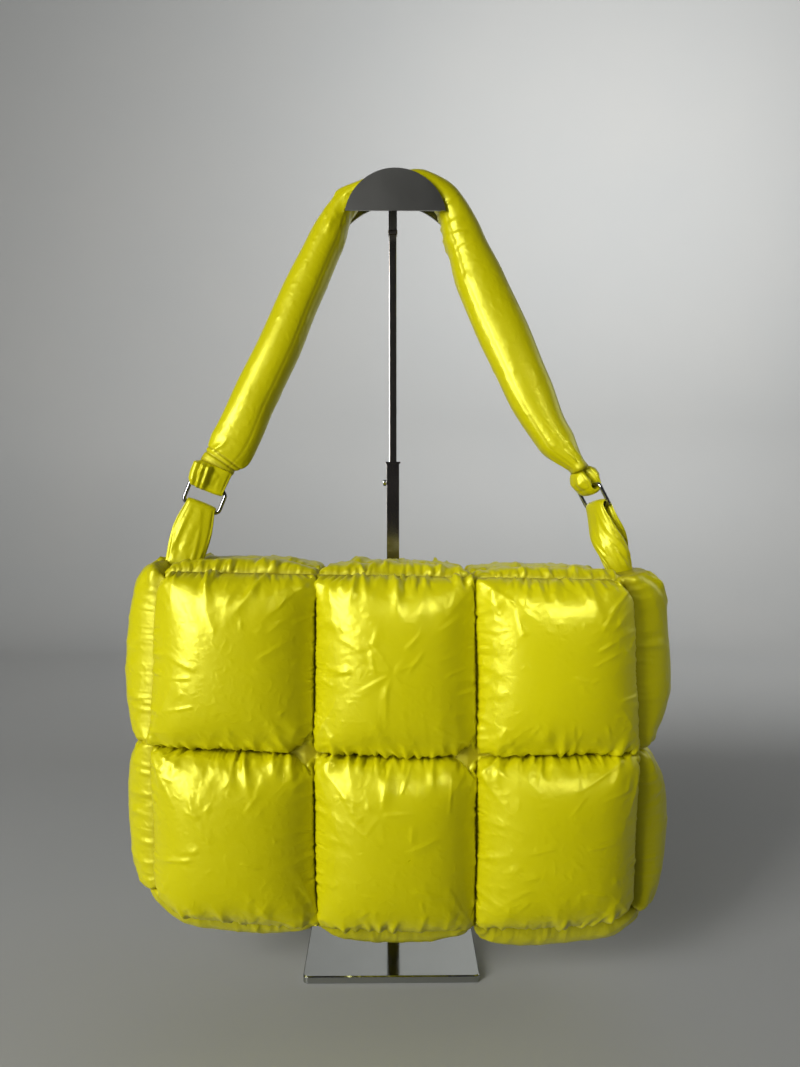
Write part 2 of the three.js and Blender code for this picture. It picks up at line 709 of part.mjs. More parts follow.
function saddle() {
  const chord = SADDLE.chordZ - SADDLE.centreZ;
  const rise = Math.asin(chord / SADDLE.plateRadius);
  const frontShape = new THREE.Shape();
  frontShape.absarc(0, 0, SADDLE.plateRadius, rise, Math.PI - rise);
  const archFoot = SADDLE.archFootZ - SADDLE.centreZ;
  const foot = Math.asin(archFoot / SADDLE.plateRadius);
  const rearShape = new THREE.Shape();
  rearShape.absarc(0, 0, SADDLE.plateRadius, foot, Math.PI - foot);
  const archZ = archFoot - SADDLE.archDepth;
  const archFrom = Math.asin(SADDLE.archDepth / SADDLE.archRadius);
  rearShape.absarc(0, archZ, SADDLE.archRadius, Math.PI - archFrom, archFrom, true);
  const inner = SADDLE.sheetRadius - SADDLE.sheetThickness;
  const sheetEnd = Math.asin((SADDLE.sheetFootZ - SADDLE.centreZ) / SADDLE.sheetRadius);
  const sheetShape = new THREE.Shape();
  sheetShape.absarc(0, 0, SADDLE.sheetRadius, sheetEnd, Math.PI - sheetEnd);
  sheetShape.absarc(0, 0, inner, Math.PI - sheetEnd, sheetEnd, true);

  const depth = SADDLE.rear - SADDLE.front;
  const front = toSolid(standingPlate(frontShape, SADDLE.front, SADDLE.plateThickness, SADDLE.plateFacets));
  const rearFront = SADDLE.rear - SADDLE.plateThickness;
  const rear = toSolid(standingPlate(rearShape, rearFront, SADDLE.plateThickness, SADDLE.archFacets));
  const sheet = toSolid(standingPlate(sheetShape, SADDLE.front, depth, SADDLE.sheetFacets));
  const stemFront = SADDLE.rear - SADDLE.plateThickness / 2;
  const stemDepth = POST.y + SADDLE.stemSize / 2 - stemFront;
  const stem = new THREE.BoxGeometry(SADDLE.stemSize, stemDepth, SADDLE.stemTop - ROD.top - GAP);
  stem.translate(POST.x, stemFront + stemDepth / 2, (SADDLE.stemTop + ROD.top + GAP) / 2);
  return toGeometry(front.add(rear).add(sheet).add(toSolid(stem)));
}

function buildBag() {
  const half = BAG.depth / 2;
  const whole = () => [-half + GAP, half - GAP];
  const { left, right, bottom, lip } = STRIP_PUFFS;
  const side = (across, { lower, upper }) =>
    gussetStrip({
      rim: (row) => sideRim(row, across),
      crowns: [lower, upper],
      ends: ENDS.side,
      span: whole,
      facetsV: FACETS.stripAcross,
      dip: 0,
    });
  const lipStrip = (facing) =>
    gussetStrip({
      rim: (column) => levelRim(column, 1, { left: 0, right: 0 }),
      crowns: [lip.left, lip.middle, lip.right],
      ends: ENDS.lip,
      span: (x) => [facing * (half - GAP), facing * mouthHalf(x)],
      facetsV: FACETS.lipAcross,
      dip: MOUTH.dip,
    });
  const bottomStrip = gussetStrip({
    rim: (column) => levelRim(column, 0, CORNERS.past),
    crowns: [bottom.left, bottom.middle, bottom.right],
    ends: ENDS.bottom,
    span: whole,
    facetsV: FACETS.stripAcross,
    dip: 0,
  });
  return [
    piece("front_panel", quiltedPanel(FRONT_PUFFS, -1), COLOURS.nylon),
    piece("back_panel", quiltedPanel(BACK_PUFFS, 1), COLOURS.nylon),
    piece("left_gusset", side(0, left), COLOURS.nylon),
    piece("right_gusset", side(1, right), COLOURS.nylon),
    piece("bottom_gusset", bottomStrip, COLOURS.nylon),
    piece("top_front_lip", lipStrip(-1), COLOURS.nylon),
    piece("top_back_lip", lipStrip(1), COLOURS.nylon),
  ];
}

function buildStrap() {
  const pieces = [piece("strap", paddedStrap(), COLOURS.nylon)];
  HOLDERS.forEach((holder, k) => {
    pieces.push(piece(`${holder.side}_loop`, strapLoop(STRAP_LOOPS[k], holder), COLOURS.nylon));
    pieces.push(piece(`${holder.side}_ring`, wireRing(holder), COLOURS.steel, 1));
    pieces.push(piece(`${holder.side}_tab`, tab(TABS[k], holder), COLOURS.nylon));
  });
  return pieces;
}

function buildStand() {
  return [
    piece("base_plate", basePlate(), COLOURS.steel, 1),
    piece("lower_post", lowerPost(), COLOURS.steel, 1),
    piece("upper_post", upperPost(), COLOURS.steel, 1),
    piece("clamp_screw", clampScrew(), COLOURS.steel, 1),
    piece("saddle", saddle(), COLOURS.steel, 1),
  ];
}

const object = new THREE.Group();
object.name = "pillow_bag_on_stand";
object.add(...buildBag(), ...buildStrap(), ...buildStand());

export default object;
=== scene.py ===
"""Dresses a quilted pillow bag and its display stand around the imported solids."""

import logging
import math
from collections.abc import Callable, Iterator, Sequence
from dataclasses import dataclass, field
from enum import Enum
from typing import NamedTuple

import bpy
import numpy as np
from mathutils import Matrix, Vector

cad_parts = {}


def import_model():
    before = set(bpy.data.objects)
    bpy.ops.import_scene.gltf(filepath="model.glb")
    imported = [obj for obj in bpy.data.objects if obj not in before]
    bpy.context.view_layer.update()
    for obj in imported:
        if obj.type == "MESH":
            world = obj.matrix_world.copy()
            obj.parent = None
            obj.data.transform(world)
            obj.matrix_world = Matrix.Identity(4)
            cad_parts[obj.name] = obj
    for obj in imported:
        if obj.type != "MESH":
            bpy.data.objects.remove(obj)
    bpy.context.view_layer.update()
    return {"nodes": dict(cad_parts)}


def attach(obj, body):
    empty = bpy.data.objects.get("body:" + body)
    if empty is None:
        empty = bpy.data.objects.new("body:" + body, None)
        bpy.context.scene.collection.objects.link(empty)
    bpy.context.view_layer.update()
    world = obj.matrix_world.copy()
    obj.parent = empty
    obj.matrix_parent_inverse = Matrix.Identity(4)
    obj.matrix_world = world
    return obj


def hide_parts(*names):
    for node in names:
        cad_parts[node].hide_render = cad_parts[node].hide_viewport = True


log = logging.getLogger("pillow_bag")

Array = np.ndarray
Colour = tuple[float, float, float]
Place = tuple[float, float, float]
Pair = tuple[float, float]
Crowns = tuple[tuple[float, ...], ...]
Limits = tuple[float, float, float, float]
Faces = list[tuple[int, ...]]
Line = Callable[[Array], tuple[Array, Array]]

MM = 0.001
BODY = "root"
# Name of the mark that paints seam lines and painted shade into the nylon's colour
SEAM_AND_SHADE_MARK = "seam"
UP = np.array([0.0, 0.0, 1.0])
REAR = np.array([0.0, 1.0, 0.0])
RIGHT = np.array([1.0, 0.0, 0.0])
WAVES = 9
WAVE_PACES = (0.7, 1.5)
WAVE_SPREAD = 1.6


class Facing(Enum):
    """Which way a panel of the bag looks along the depth."""

    FRONT = -1
    BACK = 1


class Side(Enum):
    """Left or right as seen from the front."""

    LEFT = -1
    RIGHT = 1

    @property
    def word(self) -> str:
        """The side's name in piece names."""
        return self.name.lower()


class Edge(Enum):
    """What a puff meets at the outer edge of its piece of cloth."""

    LEANS = 1
    STOPS = 0


class Way(Enum):
    """The two ways of a piece of cloth, as axes of its grid."""

    ALONG = 0
    ACROSS = 1


class Draw(Enum):
    """What a cloth draws at random. Each has its own offset from the cloth's seed."""

    FOLDS = 0
    SWELL = 1
    PUCKER_ACROSS = 2
    PUCKER_ALONG = 3
    UNEVEN = 4
    CREASES = 5
    PLEATS = 6
    GATHER_PATCHES = 7
    PLEAT_PATCHES = 8


def smooth(value: Array | float) -> Array:
    """A smooth step from 0 to 1."""
    part = np.clip(value, 0.0, 1.0)
    return part * part * (3.0 - 2.0 * part)


def mix(start: Array | float, end: Array | float, part: Array | float) -> Array:
    """The value between start and end at part."""
    return start + (end - start) * part


def unit(vectors: Array) -> Array:
    """Vectors brought to length 1."""
    return vectors / np.maximum(np.linalg.norm(vectors, axis=-1, keepdims=True), 1e-9)


def dome(part: Array, power: float) -> Array:
    """Height between two seams as a share of the crown. A low power makes steep shoulders."""
    return np.maximum(0.0, np.sin(math.pi * part)) ** power


def seam_places(cells: Sequence[float]) -> Array:
    """Places of the seams along a row of cells, both ends included."""
    return np.concatenate([[0.0], np.cumsum(cells)])


def run_along(points: Array) -> Array:
    """Length along a line of points, from 0 at the first."""
    return np.concatenate([[0.0], np.cumsum(np.linalg.norm(np.diff(points, axis=0), axis=1))])


def section_angles(sides: int) -> Array:
    """Angles of the points round a section, half a step off its axes."""
    return (np.arange(sides) + 0.5) / sides * math.tau


def bell(distance: Array, breadth: float) -> Array:
    """A bell curve: 1 at no distance, falling off over the breadth."""
    return np.exp(-((distance / breadth) ** 2))


def turned(vector: Array, axis: Array, degrees: float) -> Array:
    """A vector turned about an axis.

    Args:
        vector: The vector.
        axis: The axis, of length 1.
        degrees: How far it turns.

    Returns:
        The turned vector.
    """
    angle = math.radians(degrees)
    across = np.cross(axis, vector) * math.sin(angle)
    return vector * math.cos(angle) + across + axis * (axis @ vector) * (1.0 - math.cos(angle))


def soft_noise(first: Array, second: Array, wavelength: float, seed: int) -> Array:
    """Smooth seeded noise over two lengths, from about -1 to 1.

    Args:
        first: Lengths along.
        second: Lengths across.
        wavelength: Typical distance between two rises.
        seed: Seed of the noise.

    Returns:
        The noise at each place.
    """
    rng = np.random.default_rng(seed)
    total = np.zeros(np.broadcast(first, second).shape)
    for _ in range(WAVES):
        angle = rng.uniform(0.0, math.tau)
        pace = math.tau / (wavelength * rng.uniform(*WAVE_PACES))
        shift = rng.uniform(0.0, math.tau)
        total += np.cos(pace * (first * math.cos(angle) + second * math.sin(angle)) + shift)
    return total / math.sqrt(WAVES * WAVE_SPREAD)


def swelling(part: Array, shoulder: float, start: float = 0.0, end: float = 0.0) -> Array:
    """Height of a filled puff between two seams as a share of its crown.

    Args:
        part: Places between the seams, from 0 to 1.
        shoulder: A high power makes a flat top and steep sides.
        start: Share of the crown that the first end keeps.
        end: Share of the crown that the last end keeps.

    Returns:
        The share of the crown at each place.
    """
    kept = np.where(part < 0.5, start, end)
    inset = 1.0 - (1.0 - kept) ** (1.0 / shoulder)
    near = mix(inset, 1.0, 2.0 * np.minimum(part, 1.0 - part))
    return 1.0 - (1.0 - near) ** shoulder


def together(first: Array, second: Array, power: float) -> Array:
    """The lower of two shares, rounded where they meet, from 0 to 1.

    Args:
        first: The first share.
        second: The second share.
        power: A high power makes a sharp meeting.

    Returns:
        The share at each place.
    """
    low = 1e-4
    total = np.maximum(first, low) ** -power + np.maximum(second, low) ** -power
    return (total / 2.0) ** (-1.0 / power)


def outward(points: Array, faces: Faces) -> Faces:
    """Faces of a closed skin, turned to look outwards.

    Args:
        points: Points of the skin.
        faces: Its faces.

    Returns:
        The faces, all turned where they looked inwards.
    """
    corners = np.array([face[:3] for face in faces])
    first, second, third = (points[corners[:, number]] for number in range(3))
    volume = np.einsum("ij,ij->", first, np.cross(second, third))
    return [face[::-1] for face in faces] if volume < 0 else faces


def grid_faces(numbers: Array, closed: bool = False) -> Faces:
    """Quads over a grid of point numbers.

    Args:
        numbers: The grid.
        closed: True where the last column meets the first.

    Returns:
        The quads.
    """
    grid = np.concatenate([numbers, numbers[:, :1]], axis=1) if closed else numbers
    corners = [grid[:-1, :-1], grid[1:, :-1], grid[1:, 1:], grid[:-1, 1:]]
    return [tuple(face) for face in np.stack(corners, axis=-1).reshape(-1, 4).tolist()]


class Socket:
    """A value in a material. Arithmetic on it adds Math nodes."""

    def __init__(self, graph: "Graph", link: bpy.types.NodeSocket) -> None:
        """Keeps the graph and the output that carries the value."""
        self.graph = graph
        self.link = link

    def _math(self, operation: str, first: "Socket | float", second: "Socket | float") -> "Socket":
        """The result of one Math node."""
        return self.graph.node("ShaderNodeMath", {"operation": operation}, {0: first, 1: second})

    def __add__(self, other: "Socket | float") -> "Socket":
        """Sum."""
        return self._math("ADD", self, other)

    def __radd__(self, other: float) -> "Socket":
        """Sum with the number first."""
        return self._math("ADD", other, self)

    def __sub__(self, other: "Socket | float") -> "Socket":
        """Difference."""
        return self._math("SUBTRACT", self, other)

    def __rsub__(self, other: float) -> "Socket":
        """Difference with the number first."""
        return self._math("SUBTRACT", other, self)

    def __mul__(self, other: "Socket | float") -> "Socket":
        """Product."""
        return self._math("MULTIPLY", self, other)

    def __rmul__(self, other: float) -> "Socket":
        """Product with the number first."""
        return self._math("MULTIPLY", other, self)

    def __pow__(self, other: "Socket | float") -> "Socket":
        """Power."""
        return self._math("POWER", self, other)

    def __rpow__(self, other: float) -> "Socket":
        """Power with the number first."""
        return self._math("POWER", other, self)

    def held(self) -> "Socket":
        """The value held between 0 and 1."""
        return self.graph.node("ShaderNodeClamp", {}, {"Value": self})


class Graph:
    """The nodes of one material, or of the surround."""

    def __init__(self, owner: bpy.types.Material | bpy.types.World) -> None:
        """Empties the owner's nodes.

        Args:
            owner: The material or the surround.
        """
        owner.use_nodes = True
        self.owner = owner
        self.tree = owner.node_tree
        self.tree.nodes.clear()

    def add(self, kind: str, settings: dict[str, object], inputs: dict) -> bpy.types.Node:
        """Adds one node. Its settings come first, because they can change its sockets.

        Args:
            kind: The node's type.
            settings: Its own settings.
            inputs: Values or sockets by input name or number.

        Returns:
            The node.
        """
        made = self.tree.nodes.new(kind)
        for name, value in settings.items():
            setattr(made, name, value)
        for name, value in inputs.items():
            if isinstance(value, Socket):
                self.tree.links.new(value.link, made.inputs[name])
            elif isinstance(value, tuple) and made.inputs[name].type == "RGBA":
                made.inputs[name].default_value = (*value, 1.0)
            else:
                made.inputs[name].default_value = value
        return made

    def node(
        self, kind: str, settings: dict[str, object], inputs: dict, output: int | str = 0
    ) -> Socket:
        """The wanted output of a new node, which add makes."""
        return Socket(self, self.add(kind, settings, inputs).outputs[output])

    def place(self) -> Socket:
        """The place on the object in metres."""
        return self.node("ShaderNodeTexCoord", {}, {}, "Object")

    def noise(self, scale: float, detail: float = 3.0, roughness: float = 0.55) -> Socket:
        """Noise over the object, from 0 to 1.

        Args:
            scale: Features in a metre.
            detail: Octaves.
            roughness: Strength of the finer octaves.

        Returns:
            The noise.
        """
        settings = {"noise_dimensions": "3D"}
        inputs = {
            "Vector": self.place(),
            "Scale": scale,
            "Detail": detail,
            "Roughness": roughness,
        }
        return self.node("ShaderNodeTexNoise", settings, inputs)

    def blend(self, factor: Socket, first: Colour | Socket, second: Colour | Socket) -> Socket:
        """A colour from the first, at factor 0, to the second, at 1."""
        inputs = {0: factor, 6: first, 7: second}
        return self.node("ShaderNodeMix", {"data_type": "RGBA"}, inputs, 2)

    def bump(self, height: Socket, strength: float, distance: float) -> Socket:
        """A normal from a height. The distance is the metres that 1 stands for."""
        inputs = {"Height": height, "Strength": strength, "Distance": distance}
        return self.node("ShaderNodeBump", {}, inputs)

    def shade(self, inputs: dict) -> bpy.types.Material:
        """Ends the graph in a Principled shader.

        Args:
            inputs: Values or sockets of the shader.

        Returns:
            The finished material.
        """
        surface = self.node("ShaderNodeBsdfPrincipled", {}, inputs)
        self.add("ShaderNodeOutputMaterial", {}, {"Surface": surface})
        return self.owner


@dataclass(frozen=True)
class NylonFinish:
    """Glossy woven nylon over soft filling, with painted shade near its seams. Scales count
    features in a metre.
    """

    name: str = "nylon"
    colour: Colour = (0.470, 0.435, 0.0005)
    # deep: the painted shade colour of seam valleys, tucks and linings, also taken by stitched
    # lines
    deep: Colour = (0.220, 0.175, 0.0005)
    pale: Colour = (0.510, 0.475, 0.0005)
    gleam: Colour = (1.0, 1.0, 0.16)
    painted_shade_power: float = 1.5
    seam_shade: float = 0.75
    roughness: float = 0.32
    crumple_roughness: float = 0.16
    seam_roughness: float = 0.2
    cloud_scale: float = 22.0
    crumple_scale: float = 140.0
    crinkle_scale: float = 170.0
    grain_scale: float = 900.0
    weave_scale: float = 520.0
    fine_detail: float = 2.0
    crinkle_detail: float = 4.0
    crinkle_roughness: float = 0.5
    crinkle_bend: float = 0.3
    crinkle_height: float = 0.5
    crumple_height: float = 0.2
    grain_height: float = 0.03
    weave_height: float = 0.015
    bump_strength: float = 0.45
    bump_distance: float = 0.0015
    ior: float = 1.75

    def crinkles(self, graph: Graph) -> Socket:
        """Fine sharp crinkles of thin cloth.

        Args:
            graph: The material's nodes.

        Returns:
            Their height.
        """
        inputs = {
            "Vector": graph.place(),
            "Scale": self.crinkle_scale,
            "Detail": self.crinkle_detail,
            "Roughness": self.crinkle_roughness,
            "Distortion": self.crinkle_bend,
        }
        return graph.node("ShaderNodeTexNoise", {"noise_type": "RIDGED_MULTIFRACTAL"}, inputs)

    def threads(self, graph: Graph, direction: str) -> Socket:
        """Height of the weave's threads in one direction."""
        inputs = {"Vector": graph.place(), "Scale": self.weave_scale}
        return graph.node("ShaderNodeTexWave", {"bands_direction": direction}, inputs)

    def material(self) -> bpy.types.Material:
        """Builds the nylon.

        Returns:
            The material.
        """
        graph = Graph(bpy.data.materials.new(self.name))
        # Seam mark: how far the colour is painted towards the shade colour
        seam = graph.node("ShaderNodeAttribute", {"attribute_name": SEAM_AND_SHADE_MARK}, {}, "Fac")
        crumple = graph.noise(self.crumple_scale)
        tone = graph.blend(
            graph.noise(self.cloud_scale, self.fine_detail), self.colour, self.pale
        )
        height = (
            self.crinkles(graph) * self.crinkle_height
            + crumple * self.crumple_height
            + graph.noise(self.grain_scale, self.fine_detail) * self.grain_height
            + (self.threads(graph, "X") + self.threads(graph, "Z")) * self.weave_height
        )
        dulled = (crumple - 0.5) * self.crumple_roughness + seam * self.seam_roughness
        return graph.shade(
            {
                # Painted shade: the colour darkens towards deep along the seam mark, for shade in
                # seam valleys, tucks and gaps, and for the stitched lines
                "Base Color": graph.blend(
                    (seam**self.painted_shade_power) * self.seam_shade, tone, self.deep
                ),
                "Roughness": self.roughness + dulled,
                "Normal": graph.bump(height, self.bump_strength, self.bump_distance),
                "IOR": self.ior,
                "Specular IOR Level": 1.0,
                "Specular Tint": self.gleam,
            }
        )


@dataclass(frozen=True)
class ChromeFinish:
    """Polished plating with faint smears and rub marks. Scales count features in a metre."""

    name: str = "chrome"
    colour: Colour = (0.80, 0.81, 0.83)
    dull: Colour = (0.66, 0.67, 0.69)
    roughness: float = 0.05
    smear_scale: float = 38.0
    smear_detail: float = 4.0
    smear_roughness: float = 0.6
    smear_gain: float = 1.6
    smear_least: float = 0.5
    smear_shade: float = 0.5
    smear_dulling: float = 0.07
    rub_scale: float = 420.0
    rub_dulling: float = 0.03
    bump_strength: float = 0.05
    bump_distance: float = 0.0002

    def material(self) -> bpy.types.Material:
        """Builds the chrome.

        Returns:
            The material.
        """
        graph = Graph(bpy.data.materials.new(self.name))
        smear = graph.noise(self.smear_scale, self.smear_detail, self.smear_roughness)
        rub = graph.noise(self.rub_scale)
        marks = (smear * self.smear_gain - self.smear_least).held()
        return graph.shade(
            {
                "Base Color": graph.blend(marks * self.smear_shade, self.colour, self.dull),
                "Metallic": 1.0,
                "Roughness": self.roughness + marks * self.smear_dulling + rub * self.rub_dulling,
                "Normal": graph.bump(rub, self.bump_strength, self.bump_distance),
            }
        )


@dataclass(frozen=True)
class SteelFinish(ChromeFinish):
    """Bent steel wire, greyer than the plating."""

    name: str = "steel_wire"
    colour: Colour = (0.42, 0.42, 0.42)
    dull: Colour = (0.30, 0.30, 0.30)
    roughness: float = 0.16


@dataclass(frozen=True)
class PaintedReflectionPostFinish(ChromeFinish):
    """Plating of the post, painted dark and a little brown as a painted reflection of dim brown
    surroundings.
    """

    name: str = "post_plating_painted_reflection"
    # Painted reflection: dark brown plating colour standing in for the dim brown surroundings it
    # reflects
    colour: Colour = (0.40, 0.37, 0.34)
    dull: Colour = (0.28, 0.25, 0.22)
    roughness: float = 0.14


@dataclass(frozen=True)
class PaintedReflectionBaseFinish(ChromeFinish):
    """Chrome of the base plate, painted darker grey as a painted reflection of dim surroundings."""

    name: str = "base_chrome_painted_reflection"
    # Painted reflection: darker grey than chrome, standing in for the dim surroundings it reflects
    colour: Colour = (0.42, 0.43, 0.41)
    dull: Colour = (0.36, 0.37, 0.35)


@dataclass(frozen=True)
class SaddleFinish(ChromeFinish):
    """Brushed sheet of the saddle."""

    name: str = "brushed_sheet"
    colour: Colour = (0.36, 0.36, 0.34)
    dull: Colour = (0.28, 0.28, 0.265)
    roughness: float = 0.26


@dataclass(frozen=True)
class FloorFinish:
    """A pale matt floor."""

    name: str = "pale_floor"
    colour: Colour = (0.36, 0.36, 0.35)
    cool: Colour = (0.33, 0.34, 0.34)
    cloud_scale: float = 3.0
    roughness: float = 0.55

    def material(self) -> bpy.types.Material:
        """Builds the floor's finish.

        Returns:
            The material.
        """
        graph = Graph(bpy.data.materials.new(self.name))
        colour = graph.blend(graph.noise(self.cloud_scale), self.colour, self.cool)
        return graph.shade({"Base Color": colour, "Roughness": self.roughness})


Finish = NylonFinish | ChromeFinish | FloorFinish


@dataclass
class Workshop:
    """Makes pieces of the object and hangs them on its frame."""

    materials: dict[str, bpy.types.Material] = field(default_factory=dict)

    def finish(self, finish: Finish) -> bpy.types.Material:
        """The one material of a finish.

        Args:
            finish: The finish.

        Returns:
            Its material, built at its first use.
        """
        if finish.name not in self.materials:
            self.materials[finish.name] = finish.material()
        return self.materials[finish.name]

    def mesh(self, name: str, points: Array, faces: Faces) -> bpy.types.Object:
        """Makes one smooth mesh object from points in millimetres.

        Args:
            name: The piece's name.
            points: Points, one to a row.
            faces: Point numbers of each face.

        Returns:
            The object, in metres.
        """
        mesh = bpy.data.meshes.new(name)
        mesh.from_pydata((points * MM).tolist(), [], faces)
        mesh.validate()
        mesh.polygons.foreach_set("use_smooth", [True] * len(mesh.polygons))
        mesh.update()
        made = bpy.data.objects.new(name, mesh)
        bpy.context.scene.collection.objects.link(made)
        return made

    def sewn(self, node: str, points: Array, faces: Faces, seam: Array, fill: float) -> None:
        """Makes a padded piece of nylon that stands for a solid.

        Args:
            node: The solid's name.
            points: Points of the piece.
            faces: Its faces.
            seam: How far each point is painted dark: stitched lines, with painted shade beside
                seams, in tucks and on linings.
            fill: How full it is.
        """
        piece = self.mesh(f"{node}_cloth", points, faces)
        marks = piece.data.attributes.new(SEAM_AND_SHADE_MARK, "FLOAT", "POINT")
        marks.data.foreach_set("value", seam.astype(np.float32))
        self.keep(piece, NylonFinish(), node, fill)

    def keep(
        self,
        piece: bpy.types.Object,
        finish: Finish,
        node: str | None = None,
        fill: float | None = None,
    ) -> None:
        """Dresses a piece and rides it on the frame.

        Args:
            piece: The piece.
            finish: Its finish.
            node: The solid that it stands for.
            fill: How full a padded piece is. Not used.
        """
        piece.data.materials.append(self.finish(finish))
        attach(piece, BODY)
        if node is not None:
            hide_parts(node)
        log.info("%s: %d faces", piece.name, len(piece.data.polygons))


@dataclass
class BagShape:
    """The bag's outline between its seams, and how it hangs. Millimetres."""

    width: float = 325.0
    height: float = 238.0
    depth: float = 86.0
    foot: Place = (3.0, -47.5, 69.0)
    top_corners: Pair = (15.0, 17.0)
    bottom_corners: Pair = (28.0, 20.0)
    past: Pair = (11.0, 4.0)
    side_bow: float = 4.5
    foot_spread: float = 2.7
    bottom_sag: float = 9.5
    right_drop: float = 3.2
    back_drop: float = 6.0
    mouth_half: float = 8.0
    mouth_end: float = 6.2
    mouth_taper: Pair = (112.0, 133.0)
    mouth_dip: float = 3.0

    def hang(self, points: Array) -> Array:
        """Where points of the plain box lie when the bag hangs.

        Args:
            points: Points of the plain box.

        Returns:
            The points in the object's frame.
        """
        x, y, z = points[..., 0], points[..., 1], points[..., 2]
        level = z / self.height
        side = x / (self.width / 2.0)
        bow = self.side_bow * np.sin(np.pi * np.clip(level, 0, 1))
        bow = bow + self.foot_spread * (1 - 2 * level)
        sag = self.bottom_sag * (1 - level) * np.cos(np.pi / 2 * np.minimum(1, np.abs(side)))
        drop = self.right_drop * side + self.back_drop * level * (0.5 + y / self.depth)
        across, along, up = self.foot
        return np.stack([across + x + bow * side, along + y, up + z - sag - drop], axis=-1)

    def outline(self, across: Array, up: Array) -> tuple[Array, Array]:
        """Places on the front outline with its rounded corners.

        Args:
            across: From 0 at the left to 1 at the right.
            up: From 0 at the bottom to 1 at the top.

        Returns:
            The places across and up in the plain box.
        """
        x = (across - 0.5) * self.width
        z = (up - 0.5) * self.height
        top = np.where(x < 0, *self.top_corners)
        bottom = np.where(x < 0, *self.bottom_corners)
        corner = np.where(up < 0.5, bottom, top)
        in_x = np.maximum((np.abs(x) - self.width / 2 + corner) / corner, 0)
        in_z = np.maximum((np.abs(z) - self.height / 2 + corner) / corner, 0)
        cut_x = corner * in_x * (1 - np.sqrt(np.maximum(0, 1 - in_z**2 / 2)))
        cut_z = corner * in_z * (1 - np.sqrt(np.maximum(0, 1 - in_x**2 / 2)))
        return x - np.sign(x) * cut_x, z - np.sign(z) * cut_z + self.height / 2

    def level_rim(self, column: Array, up: float, past: Pair) -> tuple[Array, Array]:
        """The rim of the top or bottom strip, beyond the corners' middles by past.

        Args:
            column: From 0 at the left to 3 at the right.
            up: 0 for the bottom and 1 for the top.
            past: Lengths beyond the left and the right corner.

        Returns:
            The places across and up.
        """
        third = self.width / 3
        seams = [-past[0], third, 2 * third, self.width + past[1]]
        along = np.interp(column, [0, 1, 2, 3], seams)
        beyond = np.maximum(np.maximum(-along, along - self.width), 0) / self.height
        return self.outline(np.clip(along / self.width, 0, 1), beyond if up == 0 else 1 - beyond)

    def side_rim(self, row: Array, side: Side) -> tuple[Array, Array]:
        """The rim of a side strip, from the bottom strip to the upper corner's middle.

        Args:
            row: From 0 at the bottom to 2 at the top.
            side: Left or right.

        Returns:
            The places across and up.
        """
        across = 0.0 if side is Side.LEFT else 1.0
        past = self.past[0] if side is Side.LEFT else self.past[1]
        up = np.interp(row, [0, 1, 2], [past / self.height, 0.5, 1])
        return self.outline(np.full_like(row, across), up)


@dataclass(frozen=True)
class Tuck:
    """A flat folded diamond where seams cross. Millimetres in the flat pattern."""

    u: float
    v: float
    half_u: float = 11.0
    half_v: float = 9.0
    rise: float = 3.0
    tilt: float = 0.1
    # Distance over which the tuck's painted shade rises from its edge
    painted_shade_edge: float = 0.3

    def away(self, u: Array, v: Array) -> tuple[Array, Array]:
        """Distances from the tuck's middle along and across."""
        return np.abs(u - self.u)[:, None], np.abs(v - self.v)[None, :]

    def inside(self, u: Array, v: Array) -> Array:
        """How far inside the diamond places lie: 0 on its edge, 1 in its middle."""
        aside, above = self.away(u, v)
        return 1 - aside / self.half_u - above / self.half_v

    def height(self, u: Array, v: Array) -> Array:
        """Height of the folded cloth above the seams."""
        aside, above = self.away(u, v)
        return self.rise * (1 - aside / self.half_u) + self.tilt * above


@dataclass(frozen=True)
class Star:
    """Creases that run out from one place of a puff. Millimetres in the flat pattern."""

    u: float
    v: float
    rays: int = 7
    reach: float = 26.0


@dataclass(frozen=True)
class Pleats:
    """Folds that run out from a gathered seam. Millimetres."""

    spacing: Pair = (3.0, 12.0)
    breadth: Pair = (1.3, 2.8)
    widening: float = 16.0
    reach: Pair = (7.0, 28.0)
    height: Pair = (0.3, 1.5)
    slant: float = 0.3
    rise: float = 2.5
    fall: float = 1.5
    sharpness: float = 1.4
    hollow: float = 0.25
    hollow_aside: float = 2.0

    def along(self, places: Array, away: Array, rng: np.random.Generator) -> Array:
        """Heights of the folds along one side of a seam.

        Args:
            places: Lengths along the seam.
            away: Distances from the seam.
            rng: Source of the irregularity.

        Returns:
            Heights, places by distances.
        """
        total = np.zeros((len(places), len(away)))
        place = places[0]
        while place < places[-1]:
            place += rng.uniform(*self.spacing)
            slant = rng.normal(0.0, self.slant)
            breadth = rng.uniform(*self.breadth) * (1 + away / self.widening)
            reach = rng.uniform(*self.reach)
            aside = np.abs(places[:, None] - place - slant * away[None, :]) / breadth[None, :]
            fade = np.exp(-((away / reach) ** self.fall)) * smooth(away / self.rise)
            hollow = self.hollow * np.exp(-((aside - self.hollow_aside) ** 2))
            crest = np.exp(-(aside**self.sharpness)) - hollow
            total += rng.uniform(*self.height) * crest * fade
        return total


